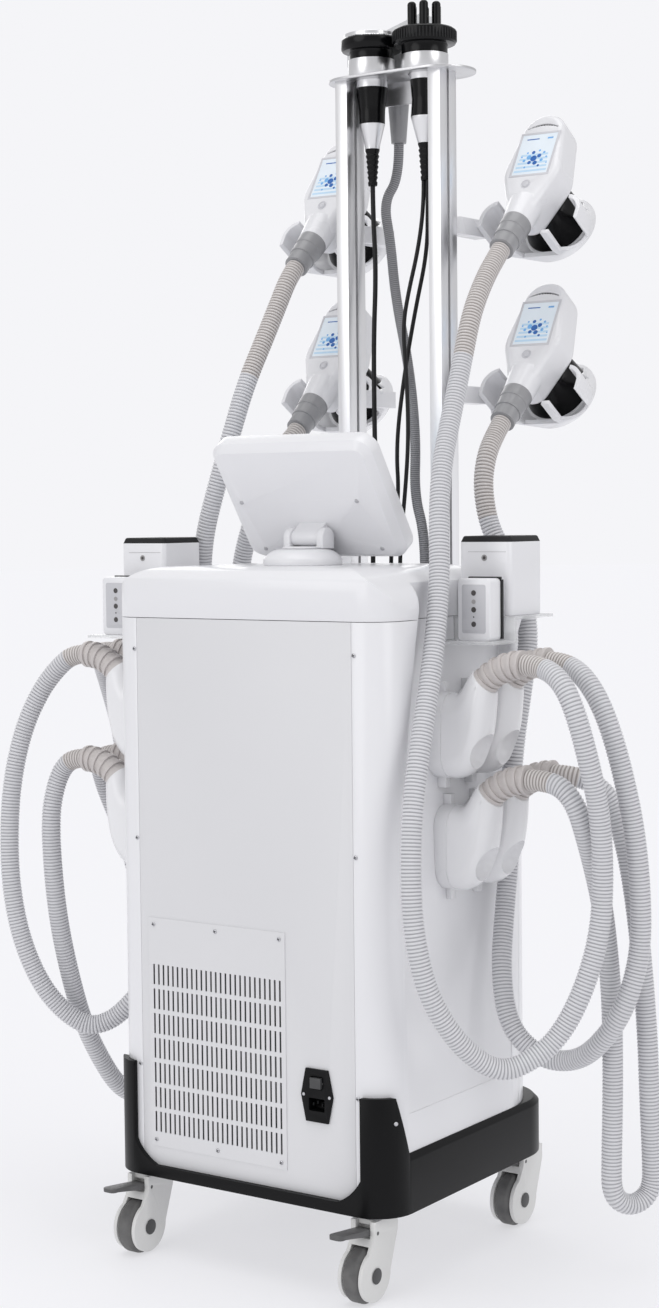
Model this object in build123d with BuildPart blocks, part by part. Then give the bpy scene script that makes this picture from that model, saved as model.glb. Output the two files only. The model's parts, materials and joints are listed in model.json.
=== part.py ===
from build123d import *
import math
import os

# Cryolipolysis trolley, in millimetres. +Z is up, the mains and vent side faces +Y,
# and the origin is on the floor under the middle of the machine.

# Shared allowances
overrun = 20
seam = 0.8
touch = 0.3
free_gap = 0.6
running_fit = 0.05

# Cabinet
rear_y = 258
cabinet_width = 450
cabinet_depth = 435
cabinet_low_z = 127.4
seam_z = 880
skin_wall = 4
rear_corner_radius = 45
front_corner_radius = 120
side_seam_from_rear = 342

# Scooped recess in each flank, deepest at the top
scoop_depth = 20
scoop_low_z = 205
scoop_front_from_rear = 318
scoop_top_from_rear = 104
scoop_waist_from_rear = 58
scoop_foot_from_rear = 42
scoop_end_from_rear = 52
scoop_waist_z = 740
scoop_foot_z = 560
scoop_end_z = 240

# Top cover
cover_height = 68
roof_corner_width = 85
roof_corner_height = 58
roof_back_radius = 32
deck_drop = 34
deck_start_from_rear = 270
deck_end_from_rear = 344

# Rear sheet and vent sheet
panel_width = 352
panel_thickness = 2
panel_lip = 14
vent_left_x = 162
vent_right_x = -67
vent_low_z = 154
vent_high_z = 470
vent_thickness = 1.2
vent_border = 6
slot_columns = 27
slot_rows = 7
slot_pitch_x = 8.15
slot_pitch_z = 34
slot_width = 3
slot_height = 28
slot_drop = 22

# Mains inlet and its rocker
inlet_x = -117
inlet_z = 261
inlet_width = 50
inlet_height = 70
inlet_thickness = 3
inlet_corner_share = 0.7
inlet_body_width = 30
inlet_body_height = 58
inlet_body_depth = 30
rocker_width = 17
rocker_height = 14
rocker_depth = 9
rocker_rise = 17
rocker_sink = 1
rocker_pin_radius = 1.5
rocker_pin_length = 1.5
rocker_swing_angle = 8
outlet_width = 25
outlet_height = 17
outlet_drop = 12
outlet_depth = 17
pin_width = 2
pin_height = 4
pin_length = 14
pin_spread = 7
pin_lift = 3

# Screws
screw_radius = 3.2
screw_rise = 1.6
screw_taper = 25
rear_screw_x = 180
rear_screw_heights = (265, 578, 837)
vent_screw_inset = 9
boot_screw_z = 235

# Base shroud and chassis plate
base_margin = 8
base_front_radius = 80
base_low_z = 112
base_ledge_z = 189
ledge_bevel = 7
pocket_margin = 4
chassis_thickness = 6
boot_top_z = 268
boot_front_from_rear = 41
boot_top_from_rear = 19
boot_inner_x = 187
boot_flare_x = 150
boot_flare_z = 160
boot_round = 9
boot_screw_angle = 30

# Casters
wheel_radius = 37.5
wheel_width = 24
hub_radius = 28
caster_spread_x = 187
caster_rear_from_rear = 32
caster_front_from_rear = 416
caster_trail = 32
axle_radius = 4
cheek_radius = 34
cheek_thickness = 5.5
cheek_gap = 1.2
fork_top_z = 107.4
fork_front = 20
fork_back = 34
stem_radius = 6
stem_low_z = 84
race_radius = 22
cap_radius = 8.5
cap_rise = 1.6
tyre_shoulder = 5
pedal_pivot = 27
pedal_pivot_z = 92
pedal_pin_radius = 2.5
pedal_reach = 99
pedal_width = 22
pedal_thickness = 5
pedal_root = 9
pedal_tip_z = 99

# Mast
mast_from_rear = 387
column_spread_x = 79
column_width = 20
column_depth = 44
column_top_z = 1642
slot_mouth = 6
slot_inner = 12
slot_lip = 1.6
slot_reach = 5
foot_width = 204
foot_depth = 84
foot_height = 9
foot_corner = 18
plate_from_rear = 405
plate_length = 233
plate_width = 104
plate_thickness = 4
web_height = 33
web_length = 120
web_thickness = 4
web_from_rear = 425

# Handpieces in the mast plate
cavitation_x = 45
multipole_x = -45.5
hanger_from_rear = 395
vacuum_x = 38
vacuum_from_rear = 455
neck_hole_radius = 24
hanger_neck_radius = 23
hanger_drop = 101
relief_length = 53
relief_ribs = 7
relief_low_radius = 6.5
relief_high_radius = 10.5
relief_rib_depth = 1.4
cavitation_rim_radius = 44
cavitation_head_height = 62
multipole_ring_radius = 45.5
multipole_head_height = 59
pole_radius = 6.3
pole_round_share = 0.8
pole_circle_radius = 20
pole_count = 6
pole_height = 37
vacuum_head_low_x = -15
vacuum_head_high_x = 118
vacuum_head_height = 94
vacuum_slope_share = 0.8
vacuum_crest_share = 0.84
vacuum_head_depth = 30
vacuum_grip_radius = 18
vacuum_tail_radius = 11
vacuum_grip_length = 86
vacuum_ledge = 6
cavitation_head_share = (
    (0.773, 0),
    (0.773, 0.42),
    (0.727, 0.42),
    (0.727, 0.61),
    (0.955, 0.61),
    (1, 0.66),
    (1, 0.86),
    (0.91, 0.92),
    (0.91, 1),
    (0, 1),
)
cavitation_grip_share = ((0.5, 0.93), (0.804, 0.65), (0.826, 0.455), (1, 0.14))
multipole_head_share = (
    (0.747, 0),
    (0.747, 0.39),
    (0.725, 0.39),
    (0.725, 0.63),
    (0.967, 0.63),
    (1, 0.68),
    (1, 0.95),
    (0.923, 1),
    (0, 1),
)
multipole_grip_share = ((0.543, 0.93), (0.891, 0.635), (0.804, 0.4), (0.913, 0.12))

# Screen handles, four alike
handle_spread_x = 176
handle_from_rear = 428
upper_handle_z = 1423
handle_pitch_z = 240
handle_lean = 31
coupling_lean = 48
grip_low_radius = 24
grip_low = 34
grip_mid_radius = 45
grip_mid = 92
grip_high_radius = 34
grip_high = 156
grip_back = 50
grip_front = 8
grip_front_round = 9
grip_back_round = 14
neck_radius = 22
neck_root_radius = 27
neck_root_back = 12
screen_width = 56
screen_height = 70
screen_thickness = 1.5
screen_middle = 117
screen_border = 0.3
button_middle = 64
button_radius = 5
button_length = 4
button_travel = 1
button_proud = 0.8
grille_middle = 171
grille_width = 50
grille_rise = 7
grille_mouth = 3.5
grille_depth = 6
coupling_length = 58
coupling_tip_radius = 18
coupling_step = 0.8

# Treatment cup and the cradle that it rests in
cup_depth = 47
cup_root_width = 62
cup_root_height = 66
cup_root_corner = 20
cup_root_middle = 78
cup_mouth_width = 96
cup_mouth_height = 92
cup_middle = 68
dish_radius = 57
dish_thickness = 9
cradle_width = 162
cradle_height = 66
cradle_corner = 28
cradle_middle = 29
cradle_front = -20
cradle_step = -62
cradle_wall = 6
cradle_gap_width = 58
cradle_open_width = 116
cradle_open_from = 44
cradle_rim = 18
arm_width = 25
arm_height = 24

# Docks and hose plugs on each flank, the left ones nearer to the rear
dock_near_right = 155
dock_near_left = 87
dock_lower_right = 167
dock_lower_left = 83
dock_pitch_y = 68
dock_upper_z = 725
dock_lower_z = 575
dock_width = 64
dock_height = 114
dock_face_x = 232
dock_wall = 4
dock_pocket = 12
clip_width = 12
clip_height = 9
clip_depth = 8
plug_gap = 0.4
plug_swell_x = 252
plug_turn_x = 272
plug_neck_x = 282
plug_swell_rise = 3
plug_turn_rise = 36
plug_neck_rise = 72
plug_swell_tilt = 10
plug_turn_tilt = 30
plug_neck_tilt = 45
plug_swell_share = 0.94
plug_turn_width_share = 0.86
plug_turn_height_share = 0.62
plug_neck_radius = 21
dimple_radius = 26
dimple_depth = 3
dimple_drop = 22

# Ribbed sleeve that bends each plug's hose outward
sleeve_radius = 19
sleeve_root_radius = 16.5
sleeve_bend = 80
sleeve_ribs = 6
sleeve_rib = 5

# Side trays and spare applicators, the left ones nearer to the rear and further out
left_shift_y = 80
left_shift_x = 22
tray_z = 845
tray_thickness = 4
tray_outer_x = 300
tray_rear_from_rear = 148
tray_step_from_rear = 206
tray_front_from_rear = 305
tray_rise = 31
large_width = 79
large_depth = 86
large_height = 106
large_inner_x = 209
large_from_rear = 211
large_tongue = 24
large_tongue_share = 0.55
large_corner = 8
cap_pad_height = 8
small_width = 50
small_depth = 33
small_height = 82
small_inner_x = 235
small_from_rear = 164
small_corner = 6

# Monitor
monitor_from_rear = 205
monitor_lean = 34
monitor_width = 264
monitor_height = 188
monitor_thickness = 30
monitor_corner = 24
monitor_low_z = 953
monitor_taper = 10
screen_margin = 12
glass_thickness = 3
monitor_screws = ((-107, 98), (86, 98), (98, 20), (-98, 20))
stand_from_rear = 145
stand_radius = 54
stand_edge = 8
stand_height = 22
dome_width_share = 0.8
dome_height_share = 0.84
boss_radius = 30
yoke_wall = 10.7
yoke_base = 3
yoke_base_radius = 28
yoke_ear_radius = 14
lug_width = 44
lug_radius = 11
hinge_up = 52
hinge_out = 20
hinge_radius = 6

# Hoses and cables
hose_radius = 14
hose_lead = 26
loop_lead = 24
vacuum_hose_radius = 7.5
vacuum_hose_lead = 50
cable_radius = 3.5
cable_lead = 40
lead_radius = 3
lead_offset = 3.3
lead_lead = 36
run_share = 0.45
gland_wall = 2.5
gland_height = 14
cavitation_gland = (34, -112)
vacuum_gland = (-54, -114)
lead_glands = ((-22, -98), (4, -114))

# Works inside the cabinet
radiator_low_x = -60
radiator_high_x = 155
radiator_from_rear = 8
radiator_depth = 36
radiator_high_z = 460
fan_x = 48
fan_z = 310
fan_radius = 90
fan_hub_radius = 22
fan_depth = 25
fan_stub_radius = 4
fan_stub_length = 32
fan_blades = 5
blade_width = 34
blade_thickness = 3
blade_pitch = 35
tank_size = (160, 120, 180)
tank_place = (90, -40)
pump_radius = 42
pump_length = 120
pump_place = (-70, -60)
pump_foot = (100, 70, 10)
supply_size = (100, 130, 130)
supply_place = (-135, 120)
board_size = (80, 110, 2)
standoff_radius = 4
standoff_height = 10
standoff_inset = 8

half_width = cabinet_width / 2
front_y = rear_y - cabinet_depth
cabinet_mid_y = (rear_y + front_y) / 2
side_seam_y = rear_y - side_seam_from_rear

os.makedirs("parts", exist_ok=True)


def write(piece, name):
    """Label a finished piece and write it to its own file."""
    piece.part.label = name
    export_step(piece.part, f"parts/{name}.step")


def from_rear(distance):
    """Place along Y, measured forward from the rear sheet."""
    return rear_y - distance


def cabinet_plan(inset, front_radius=front_corner_radius):
    """Plan outline of the cabinet, drawn in by the inset."""
    with BuildSketch() as plan:
        with Locations((0, cabinet_mid_y)):
            Rectangle(cabinet_width - 2 * inset, cabinet_depth - 2 * inset)
        fillet(plan.vertices().group_by(Axis.Y)[0], front_radius - inset)
        fillet(plan.vertices().group_by(Axis.Y)[-1], rear_corner_radius - inset)
    return plan.sketch


def plan_prism(inset, low_z, high_z, front_radius=front_corner_radius):
    """Upright prism on the cabinet plan."""
    plan = cabinet_plan(inset, front_radius)
    with BuildPart() as prism:
        with BuildSketch(Plane.XY.offset(low_z)):
            add(plan)
        extrude(amount=high_z - low_z)
    return prism.part


def block(x_low, x_high, y_low, y_high, z_low, z_high):
    """Plain block between the given limits."""
    with BuildPart() as solid:
        with Locations(((x_low + x_high) / 2, (y_low + y_high) / 2, (z_low + z_high) / 2)):
            Box(x_high - x_low, y_high - y_low, z_high - z_low)
    return solid.part


def flank_core(grow):
    """Everything between the two sloping recess walls, set in by the growth."""
    top_z = seam_z + cover_height + 2 * overrun
    low_x = half_width - grow
    high_x = half_width - scoop_depth - grow
    with BuildPart() as core:
        with BuildSketch(Plane.XZ.offset(-rear_y - overrun)):
            with BuildLine():
                Polyline(
                    (low_x, 0),
                    (low_x, scoop_low_z),
                    (high_x, seam_z),
                    (high_x, top_z),
                    (-high_x, top_z),
                    (-high_x, seam_z),
                    (-low_x, scoop_low_z),
                    (-low_x, 0),
                    close=True,
                )
            make_face()
        extrude(amount=cabinet_depth + 2 * overrun)
    return core.part


def flank_scoop(grow):
    """Cutter for the recess in both flanks, wedge shaped in depth."""
    top_z = seam_z + cover_height + overrun
    core = flank_core(grow)
    with BuildPart() as scoop:
        with BuildSketch(Plane.YZ.offset(-half_width - overrun)):
            with BuildLine():
                ThreePointArc(
                    (from_rear(scoop_top_from_rear), top_z),
                    (from_rear(scoop_waist_from_rear), scoop_waist_z),
                    (from_rear(scoop_foot_from_rear), scoop_foot_z),
                )
                Polyline(
                    (from_rear(scoop_foot_from_rear), scoop_foot_z),
                    (from_rear(scoop_end_from_rear), scoop_end_z),
                    (from_rear(scoop_front_from_rear), scoop_end_z),
                    (from_rear(scoop_front_from_rear), top_z),
                    (from_rear(scoop_top_from_rear), top_z),
                )
            make_face()
            if grow:
                offset(amount=grow, kind=Kind.INTERSECTION)
        extrude(amount=cabinet_width + 2 * overrun)
        add(core, mode=Mode.SUBTRACT)
    return scoop.part


def cover_block(inset):
    """Closed roof form on the cabinet plan, drawn in by the inset."""
    plan = cabinet_plan(inset)
    top_z = seam_z + cover_height - inset
    reach_x = half_width - inset
    with BuildPart() as arch:
        with BuildSketch(Plane.XZ.offset(-rear_y - overrun)):
            with BuildLine():
                Line((-reach_x, seam_z - overrun), (reach_x, seam_z - overrun))
                Line((reach_x, seam_z - overrun), (reach_x, top_z - roof_corner_height))
                EllipticalCenterArc(
                    (reach_x - roof_corner_width, top_z - roof_corner_height),
                    roof_corner_width,
                    roof_corner_height,
                    0,
                    arc_size=90,
                )
                Line((reach_x - roof_corner_width, top_z), (roof_corner_width - reach_x, top_z))
                EllipticalCenterArc(
                    (roof_corner_width - reach_x, top_z - roof_corner_height),
                    roof_corner_width,
                    roof_corner_height,
                    90,
                    arc_size=90,
                )
                Line((-reach_x, top_z - roof_corner_height), (-reach_x, seam_z - overrun))
            make_face()
        extrude(amount=cabinet_depth + 2 * overrun)
    rear = rear_y - inset
    front = front_y + inset
    with BuildPart() as profile:
        with BuildSketch(Plane.YZ.offset(-half_width - overrun)):
            with BuildLine():
                Polyline(
                    (rear, seam_z - overrun),
                    (rear, top_z),
                    (from_rear(deck_start_from_rear), top_z),
                    (from_rear(deck_end_from_rear), top_z - deck_drop),
                    (front, top_z - deck_drop),
                    (front, seam_z - overrun),
                    close=True,
                )
            corners = make_face().vertices()
            fillet(corners.group_by(Axis.X)[-1].group_by(Axis.Y)[-1], roof_back_radius - inset)
        extrude(amount=cabinet_width + 2 * overrun)
    with BuildPart() as roof:
        with BuildSketch(Plane.XY.offset(seam_z)):
            add(plan)
        extrude(amount=cover_height + overrun)
        add(arch.part, mode=Mode.INTERSECT)
        add(profile.part, mode=Mode.INTERSECT)
    return roof.part


def turned(outline):
    """Solid of revolution about the upright axis, from its half outline."""
    with BuildPart() as solid:
        with BuildSketch(Plane.XZ):
            with BuildLine():
                Polyline(*outline, close=True)
            make_face()
        revolve(axis=Axis.Z)
    return solid.part


def copies(piece, places):
    """The same piece set down at each of the places."""
    with BuildPart() as group:
        with Locations(*places):
            add(piece)
    return group


scoop_outer = flank_scoop(0)
scoop_inner = flank_scoop(skin_wall)
skin_top_z = seam_z - seam
body_outer = plan_prism(0, cabinet_low_z, skin_top_z)
body_inner = plan_prism(skin_wall, cabinet_low_z - overrun, skin_top_z + overrun)

with BuildPart() as skin_hollow:
    add(body_inner)
    add(scoop_inner, mode=Mode.SUBTRACT)

with BuildPart() as body_solid:
    add(body_outer)
    add(scoop_outer, mode=Mode.SUBTRACT)

with BuildPart() as skin:
    add(body_solid.part)
    add(skin_hollow.part, mode=Mode.SUBTRACT)

# Side shells, from the rear sheet round to the front seam
panel_edge_x = panel_width / 2
shell_edge_x = panel_edge_x + seam / 2
wide_x = half_width + overrun
for side, side_name in ((-1, "right"), (1, "left")):
    inner_x = sorted((side * shell_edge_x, side * wide_x))
    lip_x = sorted((side * (panel_edge_x - panel_lip), side * (shell_edge_x + skin_wall)))
    region = block(*inner_x, side_seam_y + seam / 2, rear_y + overrun, 0, skin_top_z + overrun)
    lip_y = rear_y - panel_thickness
    lip = block(*lip_x, lip_y - skin_wall, lip_y, cabinet_low_z, skin_top_z)
    with BuildPart() as side_shell:
        add(skin.part)
        add(region, mode=Mode.INTERSECT)
        add(lip)
    write(side_shell, f"side_shell_{side_name}")

# Front panel, wrapped round the bowed front corners
front_region = block(
    -wide_x, wide_x, front_y - overrun, side_seam_y - seam / 2, 0, skin_top_z + overrun
)
with BuildPart() as front_panel:
    add(skin.part)
    add(front_region, mode=Mode.INTERSECT)
write(front_panel, "front_panel")

# Top cover: rear dome falling to a flat deck under the mast
cover_void = cover_block(skin_wall)
with BuildPart() as cover_hollow:
    add(cover_void)
    add(block(-wide_x, wide_x, front_y, rear_y, seam_z - overrun, seam_z), mode=Mode.SUBTRACT)
    add(scoop_inner, mode=Mode.SUBTRACT)
cover_solid = cover_block(0)
with BuildPart() as top_cover:
    add(cover_solid)
    add(scoop_outer, mode=Mode.SUBTRACT)
    add(cover_hollow.part, mode=Mode.SUBTRACT)
write(top_cover, "top_cover")


# Rear sheet between the two shells, open behind the vent and round the inlet
with BuildPart() as rear_panel:
    add(
        block(
            -panel_edge_x,
            panel_edge_x,
            rear_y - panel_thickness,
            rear_y,
            cabinet_low_z,
            skin_top_z,
        )
    )
    add(
        block(
            vent_right_x + vent_border,
            vent_left_x - vent_border,
            rear_y - panel_thickness - overrun,
            rear_y + overrun,
            vent_low_z + vent_border,
            vent_high_z - vent_border,
        ),
        mode=Mode.SUBTRACT,
    )
    with Locations((inlet_x, rear_y, inlet_z)):
        Box(
            inlet_body_width + 2 * touch,
            2 * overrun,
            inlet_body_height + 2 * touch,
            mode=Mode.SUBTRACT,
        )
write(rear_panel, "rear_panel")

# Vent sheet with its field of upright slots
vent_mid_x = (vent_left_x + vent_right_x) / 2
vent_mid_z = (vent_low_z + vent_high_z) / 2
vent_width = vent_left_x - vent_right_x
vent_face = Plane(origin=(vent_mid_x, rear_y, vent_mid_z), x_dir=(-1, 0, 0), z_dir=(0, 1, 0))
with BuildPart() as vent_panel:
    with BuildSketch(vent_face):
        Rectangle(vent_width, vent_high_z - vent_low_z)
        with Locations((0, -slot_drop)):
            with GridLocations(slot_pitch_x, slot_pitch_z, slot_columns, slot_rows):
                Rectangle(slot_width, slot_height, mode=Mode.SUBTRACT)
    extrude(amount=vent_thickness)
write(vent_panel, "vent_panel")

# Mains inlet: six-sided flange, rocker pocket, three-pin outlet well
inlet_face = Plane(origin=(inlet_x, rear_y, inlet_z), x_dir=(-1, 0, 0), z_dir=(0, 1, 0))
inlet_half = inlet_width / 2
inlet_flat = inlet_half * inlet_corner_share
rocker_swing = rocker_depth * math.sin(math.radians(rocker_swing_angle)) + touch
well_z = rocker_height + 2 * rocker_swing
with BuildPart() as power_inlet:
    with BuildSketch(inlet_face):
        with BuildLine():
            Polyline(
                (inlet_half, 0),
                (inlet_flat, inlet_height / 2),
                (-inlet_flat, inlet_height / 2),
                (-inlet_half, 0),
                (-inlet_flat, -inlet_height / 2),
                (inlet_flat, -inlet_height / 2),
                close=True,
            )
        make_face()
    extrude(amount=inlet_thickness)
    with BuildSketch(inlet_face):
        Rectangle(inlet_body_width, inlet_body_height)
    extrude(amount=-inlet_body_depth)
    with BuildSketch(inlet_face.offset(inlet_thickness)):
        with Locations((0, rocker_rise)):
            Rectangle(rocker_width + 2 * touch, well_z)
    extrude(amount=-rocker_depth - rocker_sink, mode=Mode.SUBTRACT)
    with BuildSketch(inlet_face.offset(inlet_thickness)):
        with Locations((0, -outlet_drop)):
            RectangleRounded(outlet_width, outlet_height, rocker_pin_radius)
    extrude(amount=-outlet_depth, mode=Mode.SUBTRACT)
    with BuildSketch(inlet_face.offset(inlet_thickness - outlet_depth)):
        with Locations(
            (0, pin_lift - outlet_drop),
            (pin_spread, -outlet_drop),
            (-pin_spread, -outlet_drop),
        ):
            Rectangle(pin_width, pin_height)
    extrude(amount=pin_length)
    rocker_axis_y = rear_y + inlet_thickness - rocker_sink
    with Locations((inlet_x, rocker_axis_y, inlet_z + rocker_rise)):
        Cylinder(
            rocker_pin_radius + running_fit,
            rocker_width + 2 * touch + 2 * rocker_pin_length,
            rotation=(0, 90, 0),
            mode=Mode.SUBTRACT,
        )
write(power_inlet, "power_inlet")

with BuildPart() as power_rocker:
    with Locations((inlet_x, rocker_axis_y, inlet_z + rocker_rise)):
        Box(rocker_width, rocker_depth, rocker_height)
        Cylinder(rocker_pin_radius, rocker_width + 2 * rocker_pin_length, rotation=(0, 90, 0))
write(power_rocker, "power_rocker")

# Screws of the rear sheet, the vent sheet and the boots
rear_face = Plane(origin=(0, rear_y, 0), x_dir=(-1, 0, 0), z_dir=(0, 1, 0))
vent_screw_x = vent_width / 2 - vent_screw_inset
vent_screw_rise = (vent_high_z - vent_low_z) / 2 - vent_screw_inset
with BuildPart() as rear_screws:
    with BuildSketch(rear_face):
        with Locations(*[(side * rear_screw_x, z) for side in (-1, 1) for z in rear_screw_heights]):
            Circle(screw_radius)
    extrude(amount=screw_rise, taper=screw_taper)
    with BuildSketch(vent_face.offset(vent_thickness)):
        with GridLocations(2 * vent_screw_x, 2 * vent_screw_rise, 2, 2):
            Circle(screw_radius)
        with GridLocations(2 * vent_screw_x, 2 * vent_screw_rise, 1, 2):
            Circle(screw_radius)
    extrude(amount=screw_rise, taper=screw_taper)
    boot_radius = rear_corner_radius + base_margin
    for side in (-1, 1):
        boot_out = Vector(side, 0, 0).rotate(Axis.Z, side * boot_screw_angle)
        boot_middle_x = side * (half_width - rear_corner_radius)
        boot_middle = Vector(boot_middle_x, rear_y - rear_corner_radius, boot_screw_z)
        with BuildSketch(Plane(origin=boot_middle + boot_out * boot_radius, z_dir=boot_out)):
            Circle(screw_radius)
        extrude(amount=screw_rise, taper=screw_taper)
write(rear_screws, "rear_screws")

# Base shroud: tray under the cabinet with a bevelled ledge and two rear boots
pocket_top_z = base_low_z + chassis_thickness
shroud_pocket = plan_prism(-pocket_margin, base_low_z - overrun, pocket_top_z, base_front_radius)
shroud_cavity = plan_prism(-touch, cabinet_low_z, boot_top_z + overrun)
shroud_block = plan_prism(-base_margin, base_low_z, base_ledge_z, base_front_radius)
boot_block = plan_prism(-base_margin, base_low_z, boot_top_z, base_front_radius)
with BuildPart() as boots:
    add(boot_block)
    with BuildSketch(Plane.YZ.offset(-half_width - overrun)) as boot_side:
        with BuildLine():
            Polyline(
                (rear_y + overrun, base_low_z),
                (rear_y + overrun, boot_top_z),
                (from_rear(boot_top_from_rear), boot_top_z),
                (from_rear(boot_front_from_rear), base_ledge_z),
                (from_rear(boot_front_from_rear), base_low_z),
                close=True,
            )
        make_face()
        boot_corner = boot_side.vertices().group_by(Axis.Z)[-1].sort_by(Axis.Y)[0]
        fillet(boot_corner, boot_round)
    extrude(amount=cabinet_width + 2 * overrun, mode=Mode.INTERSECT)
flare_radius = 2 * (boot_inner_x - boot_flare_x)
with BuildPart() as strip_cut:
    with BuildSketch(Plane.XZ.offset(seam - rear_y)):
        with BuildLine():
            Line((-boot_flare_x, cabinet_low_z), (boot_flare_x, cabinet_low_z))
            RadiusArc((boot_flare_x, cabinet_low_z), (boot_inner_x, boot_flare_z), -flare_radius)
            Polyline(
                (boot_inner_x, boot_flare_z),
                (boot_inner_x, boot_top_z + overrun),
                (-boot_inner_x, boot_top_z + overrun),
                (-boot_inner_x, boot_flare_z),
            )
            RadiusArc((-boot_inner_x, boot_flare_z), (-boot_flare_x, cabinet_low_z), -flare_radius)
        make_face()
    extrude(amount=-overrun)
with BuildPart() as base_shroud:
    add(shroud_block)
    chamfer(base_shroud.edges().group_by(Axis.Z)[-1], ledge_bevel)
    add(boots.part)
    add(shroud_cavity, mode=Mode.SUBTRACT)
    add(shroud_pocket, mode=Mode.SUBTRACT)
    add(strip_cut.part, mode=Mode.SUBTRACT)
write(base_shroud, "base_shroud")

# Chassis plate let into the shroud from below, with the four caster stems
caster_rear_y = from_rear(caster_rear_from_rear)
caster_front_y = from_rear(caster_front_from_rear)
caster_places = {
    "rear_right": (-caster_spread_x, caster_rear_y, 0),
    "rear_left": (caster_spread_x, caster_rear_y, 0),
    "front_right": (-caster_spread_x, caster_front_y, 0),
    "front_left": (caster_spread_x, caster_front_y, 0),
}
plate_block = plan_prism(touch - pocket_margin, base_low_z, pocket_top_z, base_front_radius)
race_z = fork_top_z + touch
with BuildPart() as chassis_plate:
    add(plate_block)
    for place in caster_places.values():
        with BuildSketch(Plane(origin=(place[0], place[1], base_low_z), z_dir=(0, 0, -1))):
            Circle(race_radius)
        extrude(amount=base_low_z - race_z)
        with BuildSketch(Plane(origin=(place[0], place[1], base_low_z), z_dir=(0, 0, -1))):
            Circle(stem_radius)
        extrude(amount=base_low_z - stem_low_z)
write(chassis_plate, "chassis_plate")

# Caster: hooded fork and axle, wheel, brake pedal, modelled about the stem
cheek_inner_x = wheel_width / 2 + cheek_gap
cheek_outer_x = cheek_inner_x + cheek_thickness
wheel_z = wheel_radius
pedal_slot_x = pedal_width / 2 + touch
with BuildPart() as fork:
    with BuildSketch(Plane.YZ.offset(-cheek_outer_x)):
        with Locations((caster_trail, wheel_z)):
            Circle(cheek_radius)
        with BuildLine():
            Polyline(
                (-fork_front, fork_top_z),
                (-fork_front, fork_top_z - fork_front),
                (caster_trail - cheek_radius, wheel_z),
                (caster_trail + cheek_radius, wheel_z),
                (caster_trail + fork_front, wheel_z + fork_front + cheek_gap),
                (fork_back, fork_top_z - fork_front),
                (fork_back, fork_top_z),
                close=True,
            )
        make_face()
    extrude(amount=2 * cheek_outer_x)
    with BuildSketch(Plane.YZ.offset(-cheek_inner_x)):
        with Locations((caster_trail, wheel_z)):
            Circle(wheel_radius + 2 * cheek_gap)
        with Locations((caster_trail, 0)):
            Rectangle(2 * (wheel_radius + 2 * cheek_gap), 2 * wheel_z)
    extrude(amount=2 * cheek_inner_x, mode=Mode.SUBTRACT)
    with BuildSketch(Plane.XY.offset(fork_top_z)):
        Circle(stem_radius + running_fit)
    extrude(amount=stem_low_z - fork_top_z - touch, mode=Mode.SUBTRACT)
    with BuildSketch(Plane.YZ.offset(-pedal_slot_x)):
        with BuildLine():
            Polyline(
                (pedal_pivot - pedal_root, pedal_pivot_z + pedal_root / 2 + touch),
                (pedal_pivot - pedal_root, pedal_pivot_z - pedal_root / 2 - 2 * touch),
                (fork_back + overrun, pedal_pivot_z - pedal_root),
                (fork_back + overrun, fork_top_z + overrun),
                (pedal_pivot, fork_top_z + overrun),
                (pedal_pivot, pedal_pivot_z + pedal_root),
                close=True,
            )
        make_face()
    extrude(amount=2 * pedal_slot_x, mode=Mode.SUBTRACT)
    with Locations((0, pedal_pivot, pedal_pivot_z)):
        Cylinder(pedal_pin_radius + running_fit, 2 * cheek_outer_x, rotation=(0, 90, 0), mode=Mode.SUBTRACT)
    with Locations((0, caster_trail, wheel_z)):
        Cylinder(axle_radius, 2 * cheek_outer_x, rotation=(0, 90, 0))
        Cylinder(cap_radius, 2 * (cheek_outer_x + cap_rise), rotation=(0, 90, 0))
        Cylinder(cap_radius, 2 * cheek_inner_x, rotation=(0, 90, 0), mode=Mode.SUBTRACT)
        Cylinder(axle_radius, 2 * cheek_outer_x, rotation=(0, 90, 0))

with BuildPart() as wheel:
    with BuildSketch(Plane.XZ):
        with BuildLine():
            Polyline(
                (axle_radius + running_fit, -wheel_width / 2),
                (hub_radius, -wheel_width / 2),
                (wheel_radius - tyre_shoulder, -wheel_width / 2),
                (wheel_radius, tyre_shoulder - wheel_width / 2),
                (wheel_radius, wheel_width / 2 - tyre_shoulder),
                (wheel_radius - tyre_shoulder, wheel_width / 2),
                (axle_radius + running_fit, wheel_width / 2),
                close=True,
            )
        make_face()
    revolve(axis=Axis.Z)

with BuildPart() as pedal:
    with BuildSketch(Plane.YZ.offset(-pedal_width / 2)):
        with Locations((pedal_pivot, pedal_pivot_z)):
            Circle(pedal_root / 2)
        with BuildLine():
            Polyline(
                (pedal_pivot, pedal_pivot_z - pedal_root / 2),
                (pedal_pivot, pedal_pivot_z + pedal_root / 2),
                (pedal_reach - pedal_root, pedal_tip_z + pedal_thickness),
                (pedal_reach, pedal_tip_z + pedal_thickness),
                (pedal_reach, pedal_tip_z),
                (pedal_reach - pedal_root, pedal_tip_z),
                close=True,
            )
        make_face()
    extrude(amount=pedal_width)
    tip_edges = pedal.edges().filter_by(Axis.Z).group_by(Axis.Y)[-1]
    fillet(tip_edges, pedal_width / 3)
    with Locations((0, pedal_pivot, pedal_pivot_z)):
        Cylinder(pedal_pin_radius, 2 * cheek_outer_x, rotation=(0, 90, 0))

wheel_tilt = Plane(origin=(0, caster_trail, wheel_z), x_dir=(0, 1, 0), z_dir=(1, 0, 0)).location
for corner, place in caster_places.items():
    write(copies(fork.part, [place]), f"caster_fork_{corner}")
    write(copies(wheel_tilt * wheel.part, [place]), f"caster_wheel_{corner}")
    write(copies(pedal.part, [place]), f"brake_pedal_{corner}")

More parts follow.
